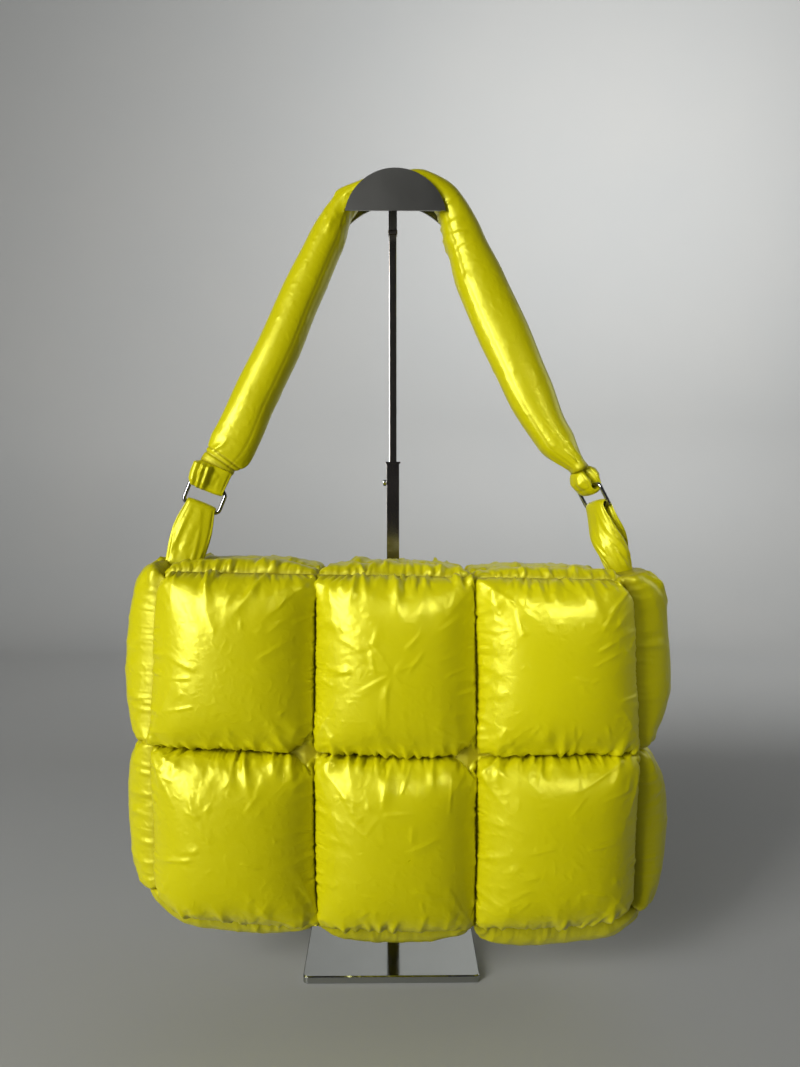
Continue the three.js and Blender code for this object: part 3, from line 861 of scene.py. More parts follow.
@dataclass
class Creases:
    """Straight creases of crumpled thin cloth. Millimetres and radians."""

    rng: np.random.Generator
    depth: Pair = (0.15, 0.7)
    breadth: Pair = (1.0, 2.8)
    curl: float = 0.1
    soft_side: Pair = (1.2, 2.6)
    start_fade: float = 4.0
    end_fade: float = 0.6
    sharpness: float = 1.3
    fan_spread: float = 0.6
    fan_reach: Pair = (18.0, 62.0)
    star_spread: float = 0.4
    star_reach: Pair = (0.5, 1.3)
    margin: Pair = (0.08, 0.92)
    drift: float = 0.5
    reach: Pair = (8.0, 30.0)

    def one(self, u: Array, v: Array, place: Pair, angle: float, length: float) -> Array:
        """One crease that runs out from a place.

        Args:
            u: Lengths along.
            v: Lengths across.
            place: Where it starts.
            angle: Its direction.
            length: Its length.

        Returns:
            Its height over the cloth.
        """
        ahead = (u - place[0]) * math.cos(angle) + (v - place[1]) * math.sin(angle)
        aside = (v - place[1]) * math.cos(angle) - (u - place[0]) * math.sin(angle)
        aside = aside - self.rng.uniform(-self.curl, self.curl) * ahead * ahead / length
        breadth = self.rng.uniform(*self.breadth)
        side = np.where(aside > 0, breadth, breadth * self.rng.uniform(*self.soft_side))
        fade = smooth(ahead / self.start_fade) * smooth((length - ahead) / (self.end_fade * length))
        ridge = np.maximum(0.0, 1.0 - np.abs(aside) / side) ** self.sharpness
        return self.rng.uniform(*self.depth) * ridge * fade

    def fan(self, u: Array, v: Array, corner: Pair, towards: float, rays: int) -> Array:
        """Creases that fan out from the corner of a puff, about one direction."""
        angles = towards + self.rng.uniform(-self.fan_spread, self.fan_spread, size=rays)
        return sum(
            self.one(u, v, corner, angle, self.rng.uniform(*self.fan_reach)) for angle in angles
        )

    def star(self, u: Array, v: Array, star: Star) -> Array:
        """Creases all round one place.

        Args:
            u: Lengths along.
            v: Lengths across.
            star: The place, the number of creases and their reach.

        Returns:
            Their height over the cloth.
        """
        even = np.linspace(0, math.tau, star.rays, endpoint=False)
        angles = even + self.rng.uniform(-self.star_spread, self.star_spread, size=star.rays)
        reach = star.reach * self.rng.uniform(*self.star_reach, size=star.rays)
        return sum(
            self.one(u, v, (star.u, star.v), angle, length) for angle, length in zip(angles, reach)
        )

    def scattered(self, u: Array, v: Array, low: Pair, size: Pair, count: int) -> Array:
        """Creases at random over one puff, most of them along the way to its seams.

        Args:
            u: Lengths along.
            v: Lengths across.
            low: The puff's first corner.
            size: Its size along and across.
            count: How many there are.

        Returns:
            Their height over the cloth.
        """
        total = np.zeros(np.broadcast(u, v).shape)
        for _ in range(count):
            part = self.rng.uniform(*self.margin, size=2)
            outwards = math.atan2(part[1] - 0.5, part[0] - 0.5)
            place = (low[0] + part[0] * size[0], low[1] + part[1] * size[1])
            angle = outwards + self.rng.normal(0.0, self.drift)
            total += self.one(u, v, place, angle, self.rng.uniform(*self.reach))
        return total


class Puff(NamedTuple):
    """One puff of a quilt: its grid lines, their block, its first corner and its size."""

    rows: Array
    columns: Array
    block: tuple[Array, ...]
    low: Pair
    size: Pair


@dataclass
class QuiltCloth:
    """Cloth sewn down along the seams of its puffs and blown up by the filling.

    Lengths are in millimetres in the flat pattern: along, across, and the height above the seams.
    """

    along: list[float]
    across: list[float]
    crowns: Array
    seed: int
    ends: Pair = (0.0, 0.0)
    waist: float = 0.0
    edges_along: Edge = Edge.LEANS
    edges_across: Edge = Edge.LEANS
    spacing: float = 1.6
    share: int = 4
    shoulders: Pair = (2.0, 3.0)
    corner: float = 2.6
    lean: float = 0.2
    slack: float = 0.02
    uneven: float = 0.02
    uneven_length: float = 60.0
    swell: float = 0.03
    swell_length: float = 46.0
    gathers: Pair = (0.12, 0.07)
    full_gather: float = 0.2
    gather_reach: float = 14.0
    gather_height: float = 1.5
    gather_rise: float = 4.0
    gather_patches: Limits = (0.9, 0.9, 0.1, 2.0)
    folds: Pleats = Pleats()
    pleats: Pleats = Pleats(
        spacing=(1.8, 5.5),
        breadth=(0.8, 1.5),
        widening=9.0,
        reach=(4.0, 19.0),
        height=(0.4, 2.3),
        slant=0.32,
        rise=1.6,
    )
    pleat_shares: Pair = (1.2, 0.35)
    pleat_patches: Limits = (0.75, 0.7, 0.15, 1.5)
    pleat_start: float = 1.2
    patchy: float = 24.0
    tucks: tuple[Tuck, ...] = ()
    stars: tuple[Star, ...] = ()
    crinkles: int = 40
    rays: int = 5
    pucker: float = 0.4
    pucker_length: float = 9.0
    seam_reach: float = 3.0
    sewn: float = 1e-6
    pressure: float = 0.006
    damping: float = 0.9
    stretch: float = 0.9
    stretch_rounds: int = 2
    shear: float = 0.3
    bend: float = 0.04
    ceiling: float = 1.04
    headroom: float = 1.8
    headroom_rise: float = 5.0
    contact: float = 0.12
    steps: int = 300
    quick_steps: int = 20

    def drawn(self, draw: Draw) -> int:
        """The seed of one kind of draw."""
        return self.seed + draw.value

    def noise(self, wavelength: float, draw: Draw) -> Array:
        """Soft noise over the whole cloth."""
        return soft_noise(self.u[:, None], self.v[None, :], wavelength, self.drawn(draw))

    def patches(self, limits: Limits, draw: Draw) -> Array:
        """Shares over the cloth. The limits are their middle, swing, least and most."""
        middle, swing, least, most = limits
        return np.clip(middle + swing * self.noise(self.patchy, draw), least, most)

    def lines(self, cells: list[float]) -> tuple[Array, Array, Array]:
        """Grid lines over a row of cells.

        Args:
            cells: Length of each cell.

        Returns:
            The lines' places, the cell of each and their parts within it.
        """
        places, owners, parts = [], [], []
        start = 0.0
        for number, length in enumerate(cells):
            count = self.share * max(1, round(length / (self.spacing * self.share)))
            last = number == len(cells) - 1
            for step in range(count + (1 if last else 0)):
                places.append(start + length * step / count)
                owners.append(number)
                parts.append(step / count)
            start += length
        return np.array(places), np.array(owners), np.array(parts)

    def puffs(self) -> Iterator[Puff]:
        """The puffs in order.

        Yields:
            Each puff.
        """
        low_u, low_v = seam_places(self.along), seam_places(self.across)
        for cell_u, size_u in enumerate(self.along):
            for cell_v, size_v in enumerate(self.across):
                rows = np.nonzero(self.cell_u == cell_u)[0]
                columns = np.nonzero(self.cell_v == cell_v)[0]
                low = (low_u[cell_u], low_v[cell_v])
                yield Puff(rows, columns, np.ix_(rows, columns), low, (size_u, size_v))

    def beside_seams(
        self, pleats: Pleats, rng: np.random.Generator
    ) -> Iterator[tuple[tuple[Array, ...], Array, Way]]:
        """Folds on both sides of every seam.

        Args:
            pleats: The kind of fold.
            rng: Source of the irregularity.

        Yields:
            A puff's block, heights over it, and the way that the seam runs.
        """
        for puff in self.puffs():
            for far in (False, True):
                part_u, part_v = self.part_u[puff.rows], self.part_v[puff.columns]
                away = (1 - part_v if far else part_v) * puff.size[1]
                yield puff.block, pleats.along(self.u[puff.rows], away, rng), Way.ALONG
                away = (1 - part_u if far else part_u) * puff.size[0]
                yield puff.block, pleats.along(self.v[puff.columns], away, rng).T, Way.ACROSS

    def start(self) -> None:
        """Lays out the cloth before it settles."""
        self.lay_grid()
        puffed = self.puffed()
        self.roof = puffed * self.ceiling + self.headroom * smooth(self.near / self.headroom_rise)
        self.lay_points(puffed)
        self.measure(puffed)

    def lay_grid(self) -> None:
        """Lays out the grid lines, how far they lie from the seams, and what is sewn."""
        self.u, self.cell_u, self.part_u = self.lines(self.along)
        self.v, self.cell_v, self.part_v = self.lines(self.across)
        size_u, size_v = np.array(self.along)[self.cell_u], np.array(self.across)[self.cell_v]
        self.near_u = np.minimum(self.part_u, 1 - self.part_u) * size_u
        self.near_v = np.minimum(self.part_v, 1 - self.part_v) * size_v
        self.near = np.minimum(self.near_u[:, None], self.near_v[None, :])
        self.pinned = (self.near_u < self.sewn)[:, None] | (self.near_v < self.sewn)[None, :]
        # Seam mark: the stitched line plus painted shade in the valley beside each seam; it also
        # fades the creases there
        self.seam = np.exp(-self.near / self.seam_reach)

    def puffed(self) -> Array:
        """Heights of the smooth puffs.

        Returns:
            The height above the seams at each point.
        """
        rise_u = np.zeros_like(self.u)
        for cell in range(len(self.along)):
            first = self.ends[0] if cell == 0 else self.waist
            last = self.ends[1] if cell == len(self.along) - 1 else self.waist
            chosen = self.cell_u == cell
            rise_u[chosen] = swelling(self.part_u[chosen], self.shoulders[0], first, last)
        rise_v = swelling(self.part_v, self.shoulders[1])
        crowns = np.asarray(self.crowns, float)[self.cell_u][:, self.cell_v]
        return crowns * together(rise_u[:, None], rise_v[None, :], self.corner)

    def inner_seams(self, places: Array, near: Array) -> Array:
        """Which grid lines are seams inside the cloth."""
        within = (places > self.sewn) & (places < places[-1] - self.sewn)
        return (near < self.sewn) & within

    def lay_points(self, puffed: Array) -> None:
        """Places the points with their first folds, puckers the seams and pins the tucks.

        Args:
            puffed: Heights of the smooth puffs.
        """
        u, v = self.u, self.v
        rng = np.random.default_rng(self.drawn(Draw.FOLDS))
        ridges = np.zeros_like(puffed)
        for block, heights, way in self.beside_seams(self.folds, rng):
            ridges[block] += heights * self.gathers[way.value] / self.full_gather
        swell = 1 - self.swell + self.swell * self.noise(self.swell_length, Draw.SWELL)
        gathered = self.gather_height * ridges * smooth(puffed / self.gather_rise)
        height = puffed * swell + gathered
        points = np.stack(np.broadcast_arrays(u[:, None], v[None, :], height), axis=-1)
        across = soft_noise(v, 0.0 * v, self.pucker_length, self.drawn(Draw.PUCKER_ACROSS))
        along = soft_noise(u, 0.0 * u, self.pucker_length, self.drawn(Draw.PUCKER_ALONG))
        points[self.inner_seams(u, self.near_u), :, 0] += self.pucker * across[None, :]
        points[:, self.inner_seams(v, self.near_v), 1] += self.pucker * along[:, None]
        for tuck in self.tucks:
            inside = tuck.inside(u, v)
            points[..., 2] = np.where(inside > 0, tuck.height(u, v), points[..., 2])
            self.pinned |= inside > 0
            # Painted shade: the folded tuck is marked dark, for the shade inside the fold
            self.seam = np.maximum(self.seam, smooth(inside / tuck.painted_shade_edge))
        self.points = points.astype(np.float32)
        self.free = (~self.pinned).astype(np.float32)

    def measure(self, puffed: Array) -> None:
        """Notes the lengths that the cloth keeps and how far its puffs may lean.

        Args:
            puffed: Heights of the smooth puffs.
        """
        uneven = self.uneven * self.noise(self.uneven_length, Draw.UNEVEN)
        patches = self.patches(self.gather_patches, Draw.GATHER_PATCHES)
        fall_u = np.exp(-self.near_v / self.gather_reach)[None, :]
        fall_v = np.exp(-self.near_u / self.gather_reach)[:, None]
        drawn_u = 1 + self.slack + self.gathers[0] * patches * fall_u + uneven
        drawn_v = 1 + self.slack + self.gathers[1] * patches * fall_v + uneven
        run_u = np.hypot(np.diff(self.u)[:, None], np.diff(puffed, axis=0))
        run_v = np.hypot(np.diff(self.v)[None, :], np.diff(puffed, axis=1))
        self.long_u = (run_u * (drawn_u[1:] + drawn_u[:-1]) / 2).astype(np.float32)
        self.long_v = (run_v * (drawn_v[:, 1:] + drawn_v[:, :-1]) / 2).astype(np.float32)
        edge_u = (self.long_u[:, 1:] + self.long_u[:, :-1]) / 2
        edge_v = (self.long_v[1:, :] + self.long_v[:-1, :]) / 2
        self.long_cross = np.sqrt(edge_u**2 + edge_v**2)
        self.limits_u = self.limits(self.along, self.cell_u, self.edges_along)
        self.limits_v = self.limits(self.across, self.cell_v, self.edges_across)

    def limits(self, cells: list[float], owners: Array, edge: Edge) -> tuple[Array, ...]:
        """How far puffs may lean over their seams.

        Args:
            cells: Length of each cell.
            owners: The cell of each grid line.
            edge: What the outermost puffs meet.

        Returns:
            The lowest and highest place of each line, and how far an outer puff leans beyond it.
        """
        ends = seam_places(cells)
        low_lean = (owners == 0) * edge.value * self.lean
        high_lean = (owners == len(cells) - 1) * edge.value * self.lean
        return ends[owners], ends[owners + 1], low_lean, high_lean

    def crumpled(self) -> Array:
        """Creases and pleats over the settled cloth.

        Returns:
            Their height at each point.
        """
        makes = Creases(np.random.default_rng(self.drawn(Draw.CREASES)))
        u, v = self.u[:, None], self.v[None, :]
        total = np.zeros(self.pinned.shape)
        for puff in self.puffs():
            here = (u[puff.rows], v[:, puff.columns])
            low, size = puff.low, puff.size
            total[puff.block] += makes.scattered(*here, low, size, self.crinkles)
            for right in (0, 1):
                for top in (0, 1):
                    corner = (low[0] + right * size[0], low[1] + top * size[1])
                    towards = math.atan2((0.5 - top) * size[1], (0.5 - right) * size[0])
                    total[puff.block] += makes.fan(*here, corner, towards, self.rays)
        for star in self.stars:
            total += makes.star(u, v, star)
        pleated = self.pleated() * smooth(self.near / self.pleat_start)
        return self.free * (total * (1 - self.seam) + pleated)

    def pleated(self) -> Array:
        """Fine pleats beside the seams.

        Returns:
            Their height at each point.
        """
        rng = np.random.default_rng(self.drawn(Draw.PLEATS))
        total = np.zeros(self.pinned.shape)
        for block, heights, way in self.beside_seams(self.pleats, rng):
            total[block] += self.pleat_shares[way.value] * heights
        return total * self.patches(self.pleat_patches, Draw.PLEAT_PATCHES)

    def pull(self, first: tuple, second: tuple, length: Array, strength: float) -> None:
        """Draws pairs of points to their length.

        Args:
            first: Slices of the first points.
            second: Slices of the second points.
            length: The lengths.
            strength: Share of the error that is mended.
        """
        start, end = self.points[first], self.points[second]
        ahead = end - start
        reach = np.sqrt(np.einsum("ijk,ijk->ij", ahead, ahead)) + 1e-6
        loose, tight = self.free[first], self.free[second]
        gain = strength * (1 - length / reach) / np.maximum(loose + tight, 1e-6)
        start += ahead * (gain * loose)[..., None]
        end -= ahead * (gain * tight)[..., None]

    def pull_lines(self, way: Way, gap: int, length: Array, strength: float) -> None:
        """Draws points along or across the cloth, in rounds that share no point.

        Args:
            way: Along or across.
            gap: Grid lines between the points of a pair.
            length: The lengths.
            strength: Share of the error that is mended.
        """
        count, whole = self.points.shape[way.value], slice(None)
        for phase in range(2 * gap):
            first = slice(phase, count - gap, 2 * gap)
            second = slice(phase + gap, count, 2 * gap)
            if way is Way.ALONG:
                self.pull((first, whole), (second, whole), length[first], strength)
            else:
                self.pull((whole, first), (whole, second), length[:, first], strength)

    def pull_diagonals(self) -> None:
        """Resists shear."""
        count = len(self.u)
        near, far = slice(0, -1), slice(1, None)
        for phase in range(2):
            first = slice(phase, count - 1, 2)
            second = slice(phase + 1, count, 2)
            self.pull((first, near), (second, far), self.long_cross[first], self.shear)
            self.pull((first, far), (second, near), self.long_cross[first], self.shear)

    def normals(self) -> Array:
        """Outward directions over the cloth.

        Returns:
            A vector of length 1 at each point.
        """
        ahead = np.empty_like(self.points)
        aside = np.empty_like(self.points)
        ahead[1:-1] = self.points[2:] - self.points[:-2]
        ahead[0], ahead[-1] = ahead[1], ahead[-2]
        aside[:, 1:-1] = self.points[:, 2:] - self.points[:, :-2]
        aside[:, 0], aside[:, -1] = aside[:, 1], aside[:, -2]
        return unit(np.cross(ahead, aside))

    def press(self) -> None:
        """Keeps each puff against its neighbours and under the filling's limit."""
        height = np.clip(self.points[..., 2], 0.0, self.roof)
        self.points[..., 2] = np.where(self.pinned, self.points[..., 2], height)
        for way, limits in ((Way.ALONG, self.limits_u), (Way.ACROSS, self.limits_v)):
            spread = 1 - way.value
            low, high, lean_low, lean_high = (np.expand_dims(line, spread) for line in limits)
            least = (low + self.contact) - height * lean_low
            most = (high - self.contact) + height * lean_high
            now = self.points[..., way.value]
            self.points[..., way.value] = np.where(self.pinned, now, np.clip(now, least, most))

    def settle(self) -> Array:
        """Lets the cloth come to rest.

        Returns:
            The points of the pattern, along by across.
        """
        self.start()
        bend_u = self.long_u[1:] + self.long_u[:-1]
        bend_v = self.long_v[:, 1:] + self.long_v[:, :-1]
        before = self.points.copy()
        steps = self.steps
        for _ in range(steps):
            now = self.points.copy()
            push = self.damping * (self.points - before) + self.pressure * self.normals()
            self.points += push * self.free[..., None]
            before = now
            for _ in range(self.stretch_rounds):
                self.pull_lines(Way.ALONG, 1, self.long_u, self.stretch)
                self.pull_lines(Way.ACROSS, 1, self.long_v, self.stretch)
            self.pull_diagonals()
            self.pull_lines(Way.ALONG, 2, bend_u, self.bend)
            self.pull_lines(Way.ACROSS, 2, bend_v, self.bend)
            self.press()
        lift = self.normals() * self.crumpled()[..., None]
        return (self.points + lift).astype(float)


@dataclass(kw_only=True)
class PaddedCloth:
    """A padded piece: a settled outer skin and a flatter lining, closed along the rim."""

    name: str
    shape: BagShape
    cloth: QuiltCloth
    fill: float
    seam: float = 0.7
    lining_part: float = 0.3
    lining_power: float = 3.0
    # How dark the lining and wall are painted, as painted shade in the gaps between pieces
    lining_painted_shade: float = 0.9

    def outer(self, pattern: Array) -> Array:
        """Points of the plain box from points of the pattern."""
        raise NotImplementedError

    def inner(self, u: Array, v: Array, depth: Array) -> Array:
        """Points of the lining in the plain box."""
        raise NotImplementedError

    def lining(self) -> Array:
        """The lining, on every few grid lines of the outer skin.

        Returns:
            Its points in the plain box.
        """
        cloth = self.cloth
        few = slice(None, None, cloth.share)
        crowns = np.asarray(cloth.crowns, float)[cloth.cell_u[few]][:, cloth.cell_v[few]]
        rise_u = dome(cloth.part_u[few], self.lining_power)
        rise_v = dome(cloth.part_v[few], self.lining_power)
        depth = self.lining_part * crowns * (rise_u[:, None] * rise_v[None, :])
        return self.inner(cloth.u[few], cloth.v[few], depth)

    @staticmethod
    def rim(grid: Array) -> list[int]:
        """Point numbers round a grid's edge."""
        edge = [grid[:-1, 0], grid[-1, :-1], grid[:0:-1, -1], grid[0, :0:-1]]
        return np.concatenate(edge).tolist()

    def wall(self, outer: Array, inner: Array) -> Faces:
        """Faces between the rims of the skin and the lining.

        Args:
            outer: Point numbers of the skin.
            inner: Point numbers of the lining.

        Returns:
            The faces.
        """
        share = self.cloth.share
        rim_out, rim_in = self.rim(outer), self.rim(inner)
        faces = []
        for number, start in enumerate(rim_in):
            after = rim_in[(number + 1) % len(rim_in)]
            for step in range(share):
                here = rim_out[number * share + step]
                there = rim_out[(number * share + step + 1) % len(rim_out)]
                faces.append((here, start, there))
            faces.append((rim_out[(number + 1) * share % len(rim_out)], start, after))
        return faces

    def build(self, workshop: Workshop) -> None:
        """Settles the cloth and makes the piece.

        Args:
            workshop: Where it is made.
        """
        skin = self.shape.hang(self.outer(self.cloth.settle()))
        lining = self.shape.hang(self.lining())
        outer = np.arange(skin[..., 0].size).reshape(skin.shape[:2])
        inner = outer.size + np.arange(lining[..., 0].size).reshape(lining.shape[:2])
        points = np.concatenate([skin.reshape(-1, 3), lining.reshape(-1, 3)])
        faces = grid_faces(outer) + [face[::-1] for face in grid_faces(inner)]
        faces += self.wall(outer, inner)
        # Painted shade: the lining and the rim wall are marked dark so the gaps between pieces read
        # as shade
        seam = np.concatenate([self.cloth.seam.ravel(), np.full(inner.size, self.lining_painted_shade)])
        workshop.sewn(self.name, points, outward(points, faces), seam, self.fill)


@dataclass(kw_only=True)
class QuiltedPanel(PaddedCloth):
    """The front or the back of the bag."""

    facing: Facing

    def outer(self, pattern: Array) -> Array:
        """Points of the plain box from points of the pattern.

        Args:
            pattern: Points along, across and above the seams.

        Returns:
            The points.
        """
        u, v, height = pattern[..., 0], pattern[..., 1], pattern[..., 2]
        inside_u = np.clip(u, 0, self.shape.width)
        inside_v = np.clip(v, 0, self.shape.height)
        x, z = self.shape.outline(inside_u / self.shape.width, inside_v / self.shape.height)
        y = self.facing.value * (self.shape.depth / 2 + self.seam + height)
        return np.stack([x + u - inside_u, y, z + v - inside_v], axis=-1)

    def inner(self, u: Array, v: Array, depth: Array) -> Array:
        """Points of the lining in the plain box.

        Args:
            u: Lines along.
            v: Lines across.
            depth: How far the lining bulges inwards.

        Returns:
            The points.
        """
        across, up = np.broadcast_arrays(
            u[:, None] / self.shape.width, v[None, :] / self.shape.height
        )
        x, z = self.shape.outline(across, up)
        return np.stack([x, self.facing.value * (self.shape.depth / 2 - depth), z], axis=-1)


@dataclass(kw_only=True)
class GussetStrip(PaddedCloth):
    """A padded strip along a rim between the two panels."""

    rim_line: Line
    span: Line
    dip: float = 0.0
    end_level: float = 0.0
    end_raise: float = 0.0
    end_reach: float = 34.0
    lining_inset: float = 2.4
    samples: int = 600

    def path(self, u: Array) -> tuple[Array, ...]:
        """The rim at lengths along the strip.

        Args:
            u: Lengths along the pattern.

        Returns:
            Places across and up, and the outward direction there.
        """
        ends = seam_places(self.cloth.along)
        numbers = np.arange(len(ends))
        at = np.interp(u, ends, numbers)
        steps = np.linspace(0, len(ends) - 1, self.samples)
        x, z = self.rim_line(steps)
        run_x, run_z = np.gradient(x), np.gradient(z)
        sign = np.sign(np.sum(run_z * x - run_x * (z - self.shape.height / 2)))
        size = np.hypot(run_x, run_z)
        look_x, look_z = sign * run_z / size, -sign * run_x / size
        place = np.interp(steps, numbers, ends)
        turn = smooth((place - ends[-1] + self.end_reach) / self.end_reach)
        look_z = look_z * (1 - self.end_level * turn)
        size = np.hypot(look_x, look_z)
        lines = (x, z + self.end_raise * turn, look_x / size, look_z / size)
        return tuple(np.interp(at, steps, line) for line in lines)

    def laid(self, u: Array, part: Array, above: Array) -> Array:
        """Points at a height above the rim.

        Args:
            u: Lengths along.
            part: Parts across from 0 to 1.
            above: Height above the rim.

        Returns:
            The points in the plain box.
        """
        x, z, look_x, look_z = self.path(u)
        first, last = self.span(x)
        lift = above - self.dip * np.clip(part, 0, 1) ** 2
        return np.stack([x + look_x * lift, mix(first, last, part), z + look_z * lift], axis=-1)

    def outer(self, pattern: Array) -> Array:
        """Points of the plain box from points of the pattern."""
        part = pattern[..., 1] / sum(self.cloth.across)
        return self.laid(pattern[..., 0], part, pattern[..., 2])

    def inner(self, u: Array, v: Array, depth: Array) -> Array:
        """Points of the lining in the plain box."""
        along, part = np.broadcast_arrays(u[:, None], v[None, :] / sum(self.cloth.across))
        return self.laid(along, part, -self.lining_inset - depth)


@dataclass(frozen=True)
class PanelCut:
    """How a panel is cut and filled."""

    name: str
    facing: Facing
    crowns: Crowns
    seed: int
    spacing: float


@dataclass(frozen=True)
class StripCut:
    """How a gusset strip is cut and filled. Its ends keep a share of the crown."""

    name: str
    crowns: Crowns
    ends: Pair
    seed: int
    waist: float = 0.0
    end_level: float = 0.0
    end_raise: float = 0.0


@dataclass
class Bag:
    """The padded body of the bag. Stars are given in thirds, halves and rays."""

    shape: BagShape = field(default_factory=BagShape)
    gap: float = 0.3
    fill: float = 0.75
    front: PanelCut = PanelCut(
        "front_panel", Facing.FRONT, ((24.0, 24.8), (24.6, 25.6), (24.6, 25.2)), 11, 0.95
    )
    back: PanelCut = PanelCut(
        "back_panel", Facing.BACK, ((22.6, 22.6), (20.0, 20.0), (22.6, 22.6)), 12, 1.5
    )
    panel_lean: float = 0.12
    tuck_aside: float = 6.0
    stars: tuple[tuple[float, float, int], ...] = ((1.36, 1.62, 7), (1.48, 1.5, 7), (1.42, 0.72, 5))
    left: StripCut = StripCut("left_gusset", ((22.5,), (24.5,)), (0.5, 0.5), 13, waist=0.3)
    right: StripCut = StripCut(
        "right_gusset", ((28.0,), (31.0,)), (0.5, 0.66), 14, end_level=0.8, end_raise=7.0
    )
    bottom: StripCut = StripCut("bottom_gusset", ((20.0,), (22.0,), (28.0,)), (0.4, 0.4), 15)
    strip_spacing: float = 1.3
    strip_gathers: Pair = (0.02, 0.06)
    strip_gather_height: float = 0.5
    strip_pleats: Pair = (0.4, 1.2)
    lip: Crowns = ((7.5,), (6.5,), (5.5,))
    lip_fill: float = 0.5
    lip_ends: Pair = (0.15, 0.5)
    lip_spacing: float = 1.2
    lip_gathers: Pair = (0.08, 0.05)
    lip_pleats: Pair = (1.3, 0.5)
    lip_crinkles: int = 12
    lip_rays: int = 2
    front_lip_seed: int = 16
    back_lip_seed: int = 17

    def panel(self, cut: PanelCut) -> QuiltedPanel:
        """The front or back panel.

        Args:
            cut: How it is cut and filled.

        Returns:
            The panel.
        """
        third, half = self.shape.width / 3, self.shape.height / 2
        cloth = QuiltCloth(
            [third] * 3,
            [half] * 2,
            np.array(cut.crowns),
            cut.seed,
            spacing=cut.spacing,
            lean=self.panel_lean,
            tucks=tuple(Tuck(column * third - self.tuck_aside, half) for column in (1, 2)),
            stars=tuple(Star(u * third, v * half, rays) for u, v, rays in self.stars),
        )
        return QuiltedPanel(
            name=cut.name, shape=self.shape, cloth=cloth, fill=self.fill, facing=cut.facing
        )

    def strip(self, cut: StripCut, rim: Line) -> GussetStrip:
        """A strip over the whole depth.

        Args:
            cut: How it is cut and filled.
            rim: Its rim.

        Returns:
            The strip.
        """
        half = self.shape.depth / 2 - self.gap
        cloth = QuiltCloth(
            self.lengths(rim, len(cut.crowns)),
            [2 * half],
            np.array(cut.crowns),
            cut.seed,
            ends=cut.ends,
            waist=cut.waist,
            edges_along=Edge.STOPS,
            spacing=self.strip_spacing,
            gathers=self.strip_gathers,
            gather_height=self.strip_gather_height,
            pleat_shares=self.strip_pleats,
        )
        return GussetStrip(
            name=cut.name,
            shape=self.shape,
            cloth=cloth,
            fill=self.fill,
            rim_line=rim,
            span=lambda x: (0 * x - half, 0 * x + half),
            end_level=cut.end_level,
            end_raise=cut.end_raise,
        )

    def lip_strip(self, facing: Facing, seed: int) -> GussetStrip:
        """A strip beside the mouth.

        Args:
            facing: Front or back.
            seed: Seed of its folds.

        Returns:
            The strip.
        """
        half = self.shape.depth / 2 - self.gap
        start, end = self.shape.mouth_taper

        def span(x: Array) -> tuple[Array, Array]:
            """The strip's seam and its mouth edge."""
            closing = smooth((np.abs(x) - start) / (end - start))
            mouth = mix(self.shape.mouth_half, self.shape.mouth_end, closing)
            return facing.value * (half + 0 * x), facing.value * mouth

        def rim(column: Array) -> tuple[Array, Array]:
            """The top rim."""
            return self.shape.level_rim(column, 1.0, (0.0, 0.0))

        cloth = QuiltCloth(
            self.lengths(rim, len(self.lip)),
            [half - self.shape.mouth_half],
            np.array(self.lip),
            seed,
            ends=self.lip_ends,
            edges_along=Edge.STOPS,
            spacing=self.lip_spacing,
            gathers=self.lip_gathers,
            pleat_shares=self.lip_pleats,
            crinkles=self.lip_crinkles,
            rays=self.lip_rays,
        )
        return GussetStrip(
            name=f"top_{facing.name.lower()}_lip",
            shape=self.shape,
            cloth=cloth,
            fill=self.lip_fill,
            rim_line=rim,
            span=span,
            dip=self.shape.mouth_dip,
        )

    @staticmethod
    def lengths(rim: Line, cells: int, samples: int = 80) -> list[float]:
        """Length of each cell along a rim.

        Args:
            rim: The rim.
            cells: How many cells it has.
            samples: Places that are measured in a cell.

        Returns:
            The lengths.
        """
        found = []
        for cell in range(cells):
            x, z = rim(np.linspace(cell, cell + 1, samples))
            found.append(float(np.sum(np.hypot(np.diff(x), np.diff(z)))))
        return found

    def build(self, workshop: Workshop) -> None:
        """Makes all the padded pieces.

        Args:
            workshop: Where they are made.
        """
        shape = self.shape
        pieces = (
            self.panel(self.front),
            self.panel(self.back),
            self.strip(self.left, lambda row: shape.side_rim(row, Side.LEFT)),
            self.strip(self.right, lambda row: shape.side_rim(row, Side.RIGHT)),
            self.strip(self.bottom, lambda column: shape.level_rim(column, 0.0, shape.past)),
            self.lip_strip(Facing.FRONT, self.front_lip_seed),
            self.lip_strip(Facing.BACK, self.back_lip_seed),
        )
        for piece in pieces:
            piece.build(workshop)


